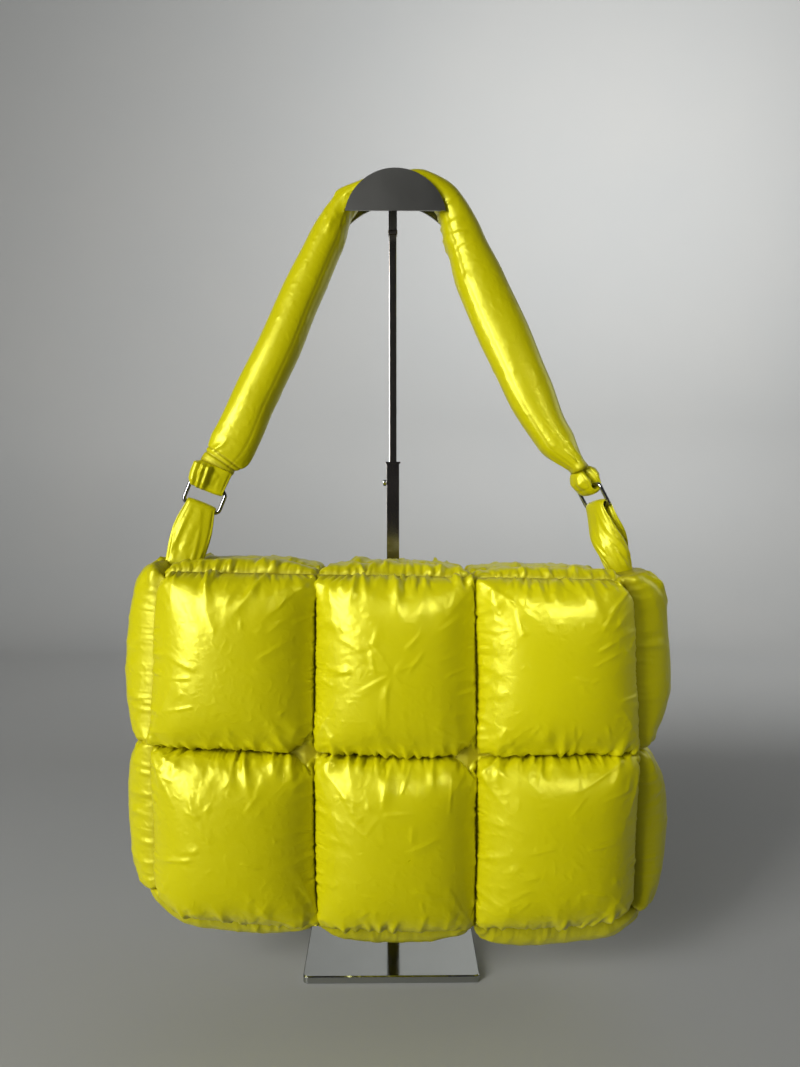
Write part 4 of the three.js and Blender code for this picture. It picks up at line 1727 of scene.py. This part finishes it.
@dataclass(frozen=True)
class Holder:
    """A wire ring between a tab of the bag and an end of the strap. Millimetres and degrees."""

    side: Side
    middle: Place
    lean: float
    turn: float
    width: float = 30.0
    height: float = 20.0
    wire: float = 3.0
    corner: float = 5.0
    ring_steps: int = 64
    wire_steps: int = 16

    def axes(self) -> tuple[Array, Array, Array]:
        """Directions along, wide and through the ring."""
        along = turned(UP, REAR, self.lean)
        wide = turned(turned(RIGHT, REAR, self.lean), along, self.turn)
        return along, wide, np.cross(along, wide)

    def bar(self, end: int) -> Array:
        """Middle of the bar at the tab's end (-1) or the strap's end (1)."""
        along = self.axes()[0]
        return np.array(self.middle) + along * end * (self.height - self.wire) / 2

    def build(self, workshop: Workshop) -> None:
        """Makes the ring of round wire.

        Args:
            workshop: Where it is made.
        """
        along, wide, through = self.axes()
        corner = self.corner - self.wire / 2
        half_w = (self.width - self.wire) / 2 - corner
        half_h = (self.height - self.wire) / 2 - corner
        angles = np.linspace(0, math.tau, self.ring_steps, endpoint=False)
        angles = angles + math.tau / (2 * self.ring_steps)
        cosine, sine = np.cos(angles)[:, None], np.sin(angles)[:, None]
        radial = cosine * wide + sine * along
        shift = np.sign(cosine) * half_w * wide + np.sign(sine) * half_h * along
        middles = np.array(self.middle) + shift + corner * radial
        around = np.linspace(0, math.tau, self.wire_steps, endpoint=False)[None, :, None]
        section = np.cos(around) * radial[:, None, :] + np.sin(around) * through
        points = (middles[:, None, :] + section * self.wire / 2).reshape(-1, 3)
        numbers = np.arange(self.ring_steps * self.wire_steps)
        numbers = numbers.reshape(self.ring_steps, self.wire_steps)
        faces = grid_faces(np.concatenate([numbers, numbers[:1]]), True)
        name = f"{self.side.word}_ring"
        piece = workshop.mesh(f"{name}_wire", points, outward(points, faces))
        workshop.keep(piece, SteelFinish(), name)


@dataclass
class Loft:
    """A closed skin through sections, each with a middle and two half sizes."""

    middles: Array
    wide: Array
    thick: Array
    sides: int
    roundness: float = 1.0

    def skin(self, lift: Array) -> tuple[Array, Faces]:
        """Points and faces of the skin.

        Args:
            lift: Height above the plain skin at each point.

        Returns:
            The points, those of the sections and two end middles, and the faces.
        """
        angles = section_angles(self.sides)
        cosine, sine = np.cos(angles)[None, :, None], np.sin(angles)[None, :, None]
        first = np.sign(cosine) * np.abs(cosine) ** self.roundness
        second = np.sign(sine) * np.abs(sine) ** self.roundness
        offset = first * self.wide[:, None, :] + second * self.thick[:, None, :]
        share_w = self.wide / np.sum(self.wide**2, axis=1, keepdims=True)
        share_t = self.thick / np.sum(self.thick**2, axis=1, keepdims=True)
        look = cosine * share_w[:, None, :] + sine * share_t[:, None, :]
        points = self.middles[:, None, :] + (offset + unit(look) * lift[..., None])
        count = len(self.middles)
        numbers = np.arange(count * self.sides).reshape(count, self.sides)
        faces = grid_faces(numbers, True)
        skin = np.concatenate([points.reshape(-1, 3), self.middles[:1], self.middles[-1:]])
        for here, there in zip(numbers[0].tolist(), np.roll(numbers[0], -1).tolist()):
            faces.append((here, there, len(skin) - 2))
        for here, there in zip(numbers[-1].tolist(), np.roll(numbers[-1], -1).tolist()):
            faces.append((there, here, len(skin) - 1))
        return skin, outward(skin, faces)


@dataclass(frozen=True)
class LoopCut:
    """How a folded loop is cut and filled. Widths at the far end, half way and at the bar."""

    widths: tuple[float, float, float]
    thick: float
    swell: float
    bunch: float
    full: float
    roundness: float
    turn_thick: float
    seed: int


@dataclass
class FoldedLoop:
    """A cloth strip folded round a ring's bar. Both its legs run to the far end."""

    name: str
    bar: Array
    far: Array
    bar_wide: Array
    far_wide: Array
    cut: LoopCut
    fill: float = 0.25
    wire: float = 3.0
    clearance: float = 0.4
    gap: float = 0.3
    opening: Pair = (0.45, 0.5)
    hem: float = 0.55
    hem_place: float = 0.86
    hem_breadth: float = 0.07
    bunch_part: float = 0.95
    bunch_folds: float = 2.5
    bunch_low: float = 0.15
    bunch_power: float = 0.7
    bunch_fade: float = 0.25
    bunch_ends: Pair = (3.0, 6.0)
    rays: int = 9
    ray_depth: Pair = (0.3, 0.9)
    ray_breadth: Pair = (1.2, 2.6)
    ray_start: Pair = (0.0, 0.3)
    ray_aside: Pair = (-0.8, 0.8)
    ray_reach: Pair = (0.5, 1.0)
    ray_drift: float = 0.12
    tightness: float = 0.2
    end_fade: float = 4.0
    bar_reach: float = 5.0
    bar_calm: float = 0.7
    shade: float = 0.1
    hem_shade: float = 0.5
    leg_steps: int = 56
    turn_steps: int = 18
    sides: int = 72

    @property
    def turn_reach(self) -> float:
        """Distance from the bar's middle to the middle of the cloth round it."""
        return self.wire / 2 + self.clearance + self.cut.turn_thick / 2

    def frame(self, part: Array) -> tuple[Array, Array, Array]:
        """Directions of the legs.

        Args:
            part: Parts of the legs, from 0 at the far end to 1 at the bar.

        Returns:
            Directions wide, along and to the front.
        """
        axis = unit(self.bar - self.far)
        wide = unit(mix(self.far_wide, self.bar_wide, smooth(part)[:, None]))
        along = unit(axis - wide * (wide @ axis)[:, None])
        return wide, along, np.cross(wide, along)

    def leg(self, facing: int) -> tuple[Array, Array, Array]:
        """Sections of one leg from the far end to the fold.

        Args:
            facing: 1 for the front leg and -1 for the rear one.

        Returns:
            Their middles, half widths and half thicknesses.
        """
        cut = self.cut
        part = np.arange(self.leg_steps) / self.leg_steps
        wide, _, front = self.frame(part)
        taper = smooth((part - cut.full) / (1.0 - cut.full))
        ball = np.sqrt(np.maximum(0.0, 1 - (2 * part - 1) ** 2))
        thick = mix(cut.thick, cut.turn_thick, taper) * (1 + cut.swell * ball)
        flat = thick / 2 + self.gap / 2
        start, length = self.opening
        opened = np.maximum(self.turn_reach, flat)
        offset = mix(flat, opened, smooth((part - start) / length))
        middle = mix(self.far, self.bar, part[:, None]) + front * (facing * offset)[:, None]
        width = np.polyval(np.polyfit([0.0, 0.5, 1.0], cut.widths, 2), part)
        return middle, wide * width[:, None] / 2, front * facing * thick[:, None] / 2

    def build(self, workshop: Workshop) -> None:
        """Makes the loop with its folds and hemmed edges.

        Args:
            workshop: Where it is made.
        """
        cut = self.cut
        wide, along, front = (line[0] for line in self.frame(np.array([1.0])))
        angle = np.linspace(0, np.pi, self.turn_steps + 1)
        radial = np.cos(angle)[:, None] * front + np.sin(angle)[:, None] * along
        fold = (
            self.bar + radial * self.turn_reach,
            np.repeat(wide[None] * cut.widths[2] / 2, len(angle), axis=0),
            radial * cut.turn_thick / 2,
        )
        near, back = self.leg(1), tuple(line[::-1] for line in self.leg(-1))
        middles, wides, thicks = (np.concatenate(lines) for lines in zip(near, fold, back))
        lift, seam = self.folds(middles, wides)
        points, faces = Loft(middles, wides, thicks, self.sides, cut.roundness).skin(lift)
        seam = np.concatenate([seam.ravel(), [self.hem_shade] * 2])
        workshop.sewn(self.name, points, faces, seam, self.fill)

    def creases(self, run: Array, aside: Array) -> Array:
        """Creases that run along both legs.

        Args:
            run: Length along the loop at each section.
            aside: Distance from the loop's middle line at each point.

        Returns:
            Their height at each point.
        """
        rng = np.random.default_rng(self.cut.seed)
        makes = Creases(rng, self.ray_depth, self.ray_breadth)
        total = np.zeros(aside.shape)
        half = run[-1, 0] / 2
        for _ in range(self.rays):
            start = rng.uniform(*self.ray_start) * half
            place = (start, rng.uniform(*self.ray_aside) * aside.max())
            length = rng.uniform(*self.ray_reach) * half
            angle = rng.normal(0.0, self.ray_drift)
            total += makes.one(run, aside, place, angle, length)
            total += makes.one(run[-1] - run, aside, place, angle, length)
        return total

    def folds(self, middles: Array, wides: Array) -> tuple[Array, Array]:
        """Lengthwise folds, the hems and the bunched left edge.

        Args:
            middles: Middle of each section.
            wides: Half width of each section.

        Returns:
            Heights above the plain loop and how close a stitched line is, sections by sides.
        """
        run = run_along(middles)[:, None]
        edge = np.cos(section_angles(self.sides))[None, :]
        half = run[-1] / 2
        from_end = np.minimum(run, run[-1] - run)
        total = self.creases(run, edge * np.linalg.norm(wides, axis=1)[:, None])
        free = smooth(from_end / self.end_fade)
        bar = bell(run - half, self.bar_reach)
        groove = bell(np.abs(edge) - self.hem_place, self.hem_breadth) * (1 - bar)
        waves = np.abs(np.cos(math.pi * self.bunch_folds * (edge + 1.0) / self.bunch_part))
        puffs = self.bunch_low + (1 - self.bunch_low) * waves**self.bunch_power
        window = smooth((self.bunch_part - 1.0 - edge) / self.bunch_fade)
        rise, fall = self.bunch_ends
        held = smooth(from_end / rise) * smooth((half - from_end) / fall)
        bulge = self.cut.bunch * window * puffs * held
        creased = (total - self.tightness) * free * (1 - self.bar_calm * bar)
        lift = creased - self.hem * groove * free + bulge
        return lift, np.clip(self.shade + self.hem_shade * groove * free, 0.0, 1.0)


class TabSeat(NamedTuple):
    """Where a tab is sewn on: its slope in degrees, and millimetres aside and above the corner."""

    slope: float
    aside: float
    above: float


class LegCreases(NamedTuple):
    """Creases beside the saddle: which leg, how far they spread, their heading and its drift."""

    leg: int
    reach: float
    heading: float
    drift: float


@dataclass
class Strap:
    """The padded strap, its loops, the rings and the tabs of the bag. Millimetres.

    Each of the strap's places holds its middle, and its sizes across and from front to back.
    """

    shape: BagShape = field(default_factory=BagShape)
    holders: tuple[Holder, Holder] = (
        Holder(Side.LEFT, (-136.6, -39.5, 359.0), 23.0, 8.0),
        Holder(Side.RIGHT, (149.3, -39.5, 359.0), -28.0, -66.0),
    )
    reaches: Pair = (16.0, 14.0)
    end_sizes: tuple[Pair, Pair] = ((26.0, 13.0), (13.0, 24.0))
    loops: tuple[LoopCut, LoopCut] = (
        LoopCut((25.0, 24.0, 23.0), 4.6, 0.3, 4.5, 0.0, 0.8, 2.6, seed=40),
        LoopCut((13.0, 21.0, 20.0), 5.5, 0.65, 0.0, 0.5, 1.0, 5.0, seed=41),
    )
    tabs: tuple[LoopCut, LoopCut] = (
        LoopCut((26.0, 30.0, 22.0), 4.6, 0.5, 0.0, 0.0, 0.8, 2.6, seed=50),
        LoopCut((16.0, 24.0, 22.0), 5.0, 0.85, 0.0, 0.4, 1.0, 3.4, seed=51),
    )
    seats: tuple[TabSeat, TabSeat] = (TabSeat(-45.0, 2.0, -1.0), TabSeat(12.0, 12.0, 5.0))
    fill: float = 0.6
    gap: float = 0.3
    roundness: float = 0.9
    seed: int = 31
    noise_seed: int = 32
    crease_depth: Pair = (0.3, 0.9)
    crease_breadth: Pair = (1.3, 3.2)
    leg_creases: tuple[LegCreases, LegCreases] = (
        LegCreases(-1, 46.0, 0.0, 0.45),
        LegCreases(1, 60.0, math.pi / 2, 0.5),
    )
    leg_count: int = 26
    leg_start: float = 44.0
    leg_crowding: float = 1.6
    leg_around: Pair = (-2.6, 1.0)
    leg_length: Pair = (10.0, 34.0)
    small_count: int = 70
    small_share: float = 0.5
    small_margin: Pair = (0.03, 0.97)
    small_length: Pair = (6.0, 18.0)
    end_count: int = 26
    end_starts: Pair = (4.0, 3.0)
    end_drift: float = 0.2
    end_length: Pair = (9.0, 26.0)
    end_radius: float = 9.0
    radius: float = 13.0
    around: Pair = (-3.0, 3.0)
    soft_height: float = 0.25
    soft_stretch: float = 0.35
    soft_length: float = 26.0
    tightness: float = 0.3
    end_fade: float = 5.0
    saddle_half: float = 30.0
    saddle_fade: float = 14.0
    seam_turn: float = -54.0
    seam_depth: float = 0.3
    seam_breadth: float = 0.8
    seam_shade: float = 0.55
    row_places: Pair = (4.0, 7.5)
    row_breadth: float = 0.9
    row_depth: float = 0.7
    row_shade: float = 0.9
    end_shade: float = 2.0
    end_part: float = 0.035
    end_steps: int = 40
    stations: int = 400
    sides: int = 96
    places: tuple[tuple[float, ...], ...] = (
        (-115.4, -35.5, 399.0, 34.5, 21.0),
        (-100.9, -30.5, 431.0, 33.5, 27.0),
        (-83.8, -23.5, 468.0, 32.8, 30.0),
        (-67.4, -14.5, 508.0, 31.0, 32.0),
        (-49.8, -5.5, 549.0, 28.0, 32.0),
        (-35.1, -0.3, 579.0, 19.6, 32.0),
        (-17.2, 0.2, 591.8, 11.5, 34.0),
        (3.5, 0.2, 596.5, 10.0, 34.0),
        (24.8, 0.2, 595.0, 17.4, 34.0),
        (44.0, -0.3, 580.6, 23.4, 32.0),
        (56.2, -5.5, 551.0, 31.0, 32.0),
        (67.8, -14.5, 518.0, 37.4, 30.0),
        (82.9, -22.5, 483.0, 38.6, 27.0),
        (100.8, -30.5, 440.0, 35.6, 28.0),
        (120.4, -34.5, 402.0, 28.4, 29.0),
    )

    def end(self, number: int) -> Array:
        """Where the strap meets a loop, straight above the ring's upper bar."""
        holder = self.holders[number]
        return holder.bar(1) + holder.axes()[0] * self.reaches[number]

    def path(self, at: Array) -> tuple[Array, Array, Array, Array]:
        """The strap's line, a smooth curve through its places.

        Args:
            at: Places from 0 at the left end to 1 at the right end.

        Returns:
            Middles, directions, and the sizes seen from the front and from front to back.
        """
        ends = np.array([[*self.end(number), *self.end_sizes[number]] for number in (0, 1)])
        rows = np.concatenate([ends[:1], np.array(self.places), ends[1:]])
        knots = np.concatenate([[2 * rows[0] - rows[1]], rows, [2 * rows[-1] - rows[-2]]])[:, :3]
        scaled = at * (len(rows) - 1)
        number = np.minimum(scaled.astype(int), len(rows) - 2)
        part = scaled - number
        corner = [knots[number + step] for step in range(4)]
        legs = [corner[step + 1] - corner[step] for step in range(3)]
        gaps = [np.sqrt(np.linalg.norm(leg, axis=1))[:, None] for leg in legs]
        slope_in = legs[0] / gaps[0] - (corner[2] - corner[0]) / (gaps[0] + gaps[1])
        slope_in = (slope_in + legs[1] / gaps[1]) * gaps[1]
        slope_out = legs[1] / gaps[1] - (corner[3] - corner[1]) / (gaps[1] + gaps[2])
        slope_out = (slope_out + legs[2] / gaps[2]) * gaps[1]
        t = part[:, None]
        middles = corner[1] + t * slope_in + t**2 * (3 * legs[1] - 2 * slope_in - slope_out)
        middles = middles + t**3 * (slope_in + slope_out - 2 * legs[1])
        sizes = mix(rows[number, 3:], rows[number + 1, 3:], smooth(part)[:, None])
        ahead = unit(np.gradient(middles, at, axis=0))
        ahead[0] = self.holders[0].axes()[0]
        ahead[-1] = -self.holders[1].axes()[0]
        return middles, ahead, sizes[:, 0], sizes[:, 1]

    def creases(self, along: Array, around: Array) -> Array:
        """Creases beside the saddle, small ones all over, and those that run in from the ends.

        Args:
            along: Length along the strap at each section.
            around: Length round the section at each point.

        Returns:
            Their height at each point.
        """
        rng = np.random.default_rng(self.seed)
        makes = Creases(rng, self.crease_depth, self.crease_breadth)
        total = np.zeros(around.shape)
        whole = along[-1, 0]
        middle = whole / 2
        for row in self.leg_creases:
            for _ in range(self.leg_count):
                away = self.leg_start + rng.uniform(0.0, 1.0) ** self.leg_crowding * row.reach
                heading = row.heading + rng.normal(0.0, row.drift)
                spot = (middle + row.leg * away, rng.uniform(*self.leg_around) * self.radius)
                total += makes.one(along, around, spot, heading, rng.uniform(*self.leg_length))
        for _ in range(self.small_count):
            place = rng.uniform(*self.small_margin) * whole
            heading = rng.uniform(0.0, math.tau)
            spot = (place, rng.uniform(*self.around) * self.radius)
            length = rng.uniform(*self.small_length)
            total += self.small_share * makes.one(along, around, spot, heading, length)
        for _ in range(self.end_count):
            place = rng.choice([self.end_starts[0], whole - self.end_starts[1]])
            heading = (0.0 if place < middle else math.pi) + rng.normal(0.0, self.end_drift)
            spot = (place, rng.uniform(*self.around) * self.end_radius)
            total += makes.one(along, around, spot, heading, rng.uniform(*self.end_length))
        return total

    def folds(self, run: Array, angle: Array, girth: Array) -> tuple[Array, Array]:
        """The strap's creases, its long seam and the stitched rows at its left end.

        Args:
            run: Length along the strap at each section.
            angle: Angle round the section of each side.
            girth: Mean radius of each section.

        Returns:
            Heights and how close a seam is, sections by sides.
        """
        along = run[:, None]
        turn = ((angle - math.pi) % math.tau - math.pi)[None, :]
        around = turn * girth[:, None]
        from_saddle = np.abs(along - run[-1] / 2)
        from_end = np.minimum(along, run[-1] - along)
        stretched = along * self.soft_stretch
        soft = self.soft_height * soft_noise(stretched, around, self.soft_length, self.noise_seed)
        bare = smooth((from_saddle - self.saddle_half) / self.saddle_fade)
        free = smooth(from_end / self.end_fade) * bare
        seam = bell((turn - math.radians(self.seam_turn)) * girth[:, None], self.seam_breadth)
        rows = sum(bell(along - row, self.row_breadth) for row in self.row_places)
        creased = (self.creases(along, around) + soft - self.tightness) * free
        lift = creased - self.seam_depth * seam * free - self.row_depth * rows
        close = np.exp(-from_end / self.end_shade) + self.seam_shade * seam * free
        return lift, np.clip(close + self.row_shade * rows, 0.0, 1.0)

    def build_strap(self, workshop: Workshop) -> None:
        """Makes the padded strap.

        Args:
            workshop: Where it is made.
        """
        dense = np.linspace(0.0, self.end_part, self.end_steps, endpoint=False)
        at = np.concatenate([dense, np.linspace(self.end_part, 1.0, self.stations)])
        middles, ahead, face, deep = self.path(at)
        across = unit(np.cross(REAR, ahead))
        through = unit(np.cross(ahead, across))
        wide, thick = across * face[:, None] / 2, through * deep[:, None] / 2
        angles = section_angles(self.sides)
        lift, seam = self.folds(run_along(middles), angles, (face + deep) / 4)
        points, faces = Loft(middles, wide, thick, self.sides, self.roundness).skin(lift)
        workshop.sewn("strap", points, faces, np.concatenate([seam.ravel(), [1.0] * 2]), self.fill)

    def seat(self, number: int) -> tuple[Array, Array]:
        """Where a tab is sewn to the bag.

        Args:
            number: 0 for the left tab and 1 for the right one.

        Returns:
            The middle of its foot and the direction across it.
        """
        row, side = self.seats[number], self.holders[number].side.value
        slant = math.radians(row.slope)
        wide = np.array([math.cos(slant), 0.0, math.sin(slant)])
        up = np.array([-math.sin(slant), 0.0, math.cos(slant)])
        x, z = self.shape.outline(np.array(0.5 + 0.5 * side), np.array(1.0))
        corner = np.array([float(x), 0.0, float(z)])
        return self.shape.hang(corner + wide * side * row.aside + up * row.above), wide

    def build(self, workshop: Workshop) -> None:
        """Makes the strap and what joins it to the bag.

        Args:
            workshop: Where they are made.
        """
        self.build_strap(workshop)
        for number, holder in enumerate(self.holders):
            along, wide, _ = holder.axes()
            word = holder.side.word
            far = self.end(number) - along * self.gap
            loop = FoldedLoop(f"{word}_loop", holder.bar(1), far, wide, wide, self.loops[number])
            loop.build(workshop)
            holder.build(workshop)
            foot, foot_wide = self.seat(number)
            bar = holder.bar(-1)
            tab = FoldedLoop(f"{word}_tab", bar, foot, wide, foot_wide, self.tabs[number])
            tab.build(workshop)


@dataclass
class Stand:
    """The chrome stand. Its solids stay, with eased edges."""

    finishes: tuple[tuple[str, ChromeFinish], ...] = (
        ("base_plate", PaintedReflectionBaseFinish()),
        ("lower_post", PaintedReflectionPostFinish()),
        ("upper_post", PaintedReflectionPostFinish()),
        ("clamp_screw", ChromeFinish()),
        ("saddle", SaddleFinish()),
    )
    edge: float = 0.35
    edge_steps: int = 2
    edge_angle: float = 40.0
    weld: float = 0.01

    def build(self, workshop: Workshop, solids: dict[str, bpy.types.Object]) -> None:
        """Dresses the stand's solids.

        Args:
            workshop: Where finishes are kept.
            solids: The solids of the frame by name.
        """
        for name, finish in self.finishes:
            solid = solids[name]
            for slot in solid.material_slots:
                slot.material = workshop.finish(finish)
            weld = solid.modifiers.new("weld", "WELD")
            weld.merge_threshold = self.weld * MM
            bevel = solid.modifiers.new("edges", "BEVEL")
            bevel.width = self.edge * MM
            bevel.segments = self.edge_steps
            bevel.limit_method = "ANGLE"
            bevel.angle_limit = math.radians(self.edge_angle)
            log.info("%s: %s", name, finish.name)


@dataclass(frozen=True)
class Lamp:
    """A soft rectangular light. Metres and watts."""

    name: str
    place: Place
    size: Pair
    power: float
    colour: Colour = (1.0, 1.0, 1.0)
    target: Place = (0.0, -0.05, 0.31)

    def light(self) -> bpy.types.Light:
        """Makes the light.

        Returns:
            The light, not yet placed.
        """
        data = bpy.data.lights.new(self.name, "AREA")
        data.shape = "RECTANGLE"
        data.size, data.size_y = self.size
        data.energy = self.power
        data.color = self.colour
        return data


@dataclass(frozen=True)
class Spot:
    """A soft-edged spotlight. Metres, degrees and watts."""

    name: str
    place: Place
    target: Place
    angle: float
    power: float
    blend: float = 1.0
    softness: float = 0.12

    def light(self) -> bpy.types.Light:
        """Makes the light.

        Returns:
            The light, not yet placed.
        """
        data = bpy.data.lights.new(self.name, "SPOT")
        data.spot_size = math.radians(self.angle)
        data.spot_blend = self.blend
        data.shadow_soft_size = self.softness
        data.energy = self.power
        return data


@dataclass
class Studio:
    """Floor, light and camera. Metres, degrees, and pixels of the photograph."""

    focal: float = 820.0
    frame: Pair = (800.0, 1067.0)
    sensor: float = 36.0
    nearest: float = 0.01
    eye: Place = (0.0, -0.643, 0.380)
    pitch: float = 4.57
    yaw: float = 0.63
    floor_gap: float = 0.0002
    sweep_front: float = 0.13
    sweep_rear: float = 1.5
    sweep_radius: float = 0.5
    sweep_reach: float = 6.0
    sweep_steps: int = 24
    sky_depths: Pair = (-0.9, 0.4)
    sky_tones: Pair = (0.02, 0.07)
    lights: tuple[Lamp | Spot, ...] = (
        Lamp("window", (-1.3, -1.4, 0.72), (0.6, 1.4), 46.0, (1.0, 0.99, 0.97)),
        Lamp("key", (-0.95, -1.7, 1.5), (0.8, 0.9), 6.0, (1.0, 1.0, 0.98)),
        Lamp("fill", (1.6, 0.4, 0.9), (1.0, 1.2), 5.0),
        Lamp("wall", (0.7, 0.4, 1.3), (1.6, 1.4), 25.0, target=(0.7, 1.5, 1.3)),
        Spot("shop_spot", (0.4, -1.2, 0.9), (0.1, -0.12, 0.3), 12.0, 42.0),
    )

    def camera(self) -> None:
        """Sets the camera at the photograph's place."""
        data = bpy.data.cameras.new("camera")
        data.sensor_width = self.sensor
        data.lens = self.focal / max(self.frame) * data.sensor_width
        data.clip_start = self.nearest
        made = bpy.data.objects.new("camera", data)
        made.location = self.eye
        made.rotation_euler = (math.radians(90.0 - self.pitch), 0.0, math.radians(-self.yaw))
        bpy.context.scene.collection.objects.link(made)
        bpy.context.scene.camera = made

    def lit(self, lamp: Lamp | Spot) -> None:
        """Adds one light and turns it to its target.

        Args:
            lamp: The light.
        """
        made = bpy.data.objects.new(lamp.name, lamp.light())
        made.location = lamp.place
        ahead = Vector(lamp.target) - Vector(lamp.place)
        made.rotation_euler = ahead.to_track_quat("-Z", "Y").to_euler()
        bpy.context.scene.collection.objects.link(made)

    def sheet(
        self, workshop: Workshop, name: str, depth: Array, level: Array
    ) -> bpy.types.Object:
        """Adds one wide sheet of the floor or the backdrop.

        Args:
            workshop: Where it is made.
            name: The sheet's name.
            depth: Places from front to back in metres.
            level: Heights in metres.

        Returns:
            The sheet.
        """
        rows = [
            np.stack([0 * depth + side, depth, level - self.floor_gap], axis=-1)
            for side in (self.sweep_reach, -self.sweep_reach)
        ]
        numbers = np.arange(2 * len(depth)).reshape(2, len(depth))
        made = workshop.mesh(name, np.concatenate(rows) / MM, grid_faces(numbers))
        made.data.materials.append(workshop.finish(FloorFinish()))
        return made

    def sky(self) -> None:
        """Sets a pale surround that is dimmer in front of the bag."""
        world = bpy.data.worlds.new("surround")
        bpy.context.scene.world = world
        graph = Graph(world)
        place = graph.node("ShaderNodeTexCoord", {}, {}, "Generated")
        depth = graph.node("ShaderNodeSeparateXYZ", {}, {"Vector": place}, "Y")
        inputs = {
            "Value": depth,
            "From Min": self.sky_depths[0],
            "From Max": self.sky_depths[1],
            "To Min": self.sky_tones[0],
            "To Max": self.sky_tones[1],
        }
        tone = graph.node("ShaderNodeMapRange", {}, inputs)
        surface = graph.node("ShaderNodeBackground", {}, {"Color": tone})
        graph.add("ShaderNodeOutputWorld", {}, {"Surface": surface})

    def build(self, workshop: Workshop) -> None:
        """Sets up the floor, the light and the camera.

        Args:
            workshop: Where the floor is made.
        """
        bend = np.linspace(0, np.pi / 2, self.sweep_steps)
        rear = self.sweep_rear - self.sweep_radius + self.sweep_radius * np.sin(bend)
        rise = self.sweep_radius * (1 - np.cos(bend))
        depth = np.concatenate([[-self.sweep_front], rear, [self.sweep_rear]])
        level = np.concatenate([[0.0], rise, [self.sweep_reach]])
        self.sheet(workshop, "backdrop", depth, level)
        depth = np.array([-self.sweep_reach, -self.sweep_front])
        self.sheet(workshop, "floor", depth, np.zeros(2)).visible_glossy = False
        self.sky()
        for lamp in self.lights:
            self.lit(lamp)
        self.camera()
        bpy.context.scene.view_settings.view_transform = "Standard"


def main() -> None:
    """Builds the bag, its strap, the stand and the studio."""
    logging.basicConfig(level=logging.INFO, format="%(message)s")
    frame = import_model()
    workshop = Workshop()
    Bag().build(workshop)
    Strap().build(workshop)
    Stand().build(workshop, frame["nodes"])
    Studio().build(workshop)


if __name__ == "__main__":
    main()
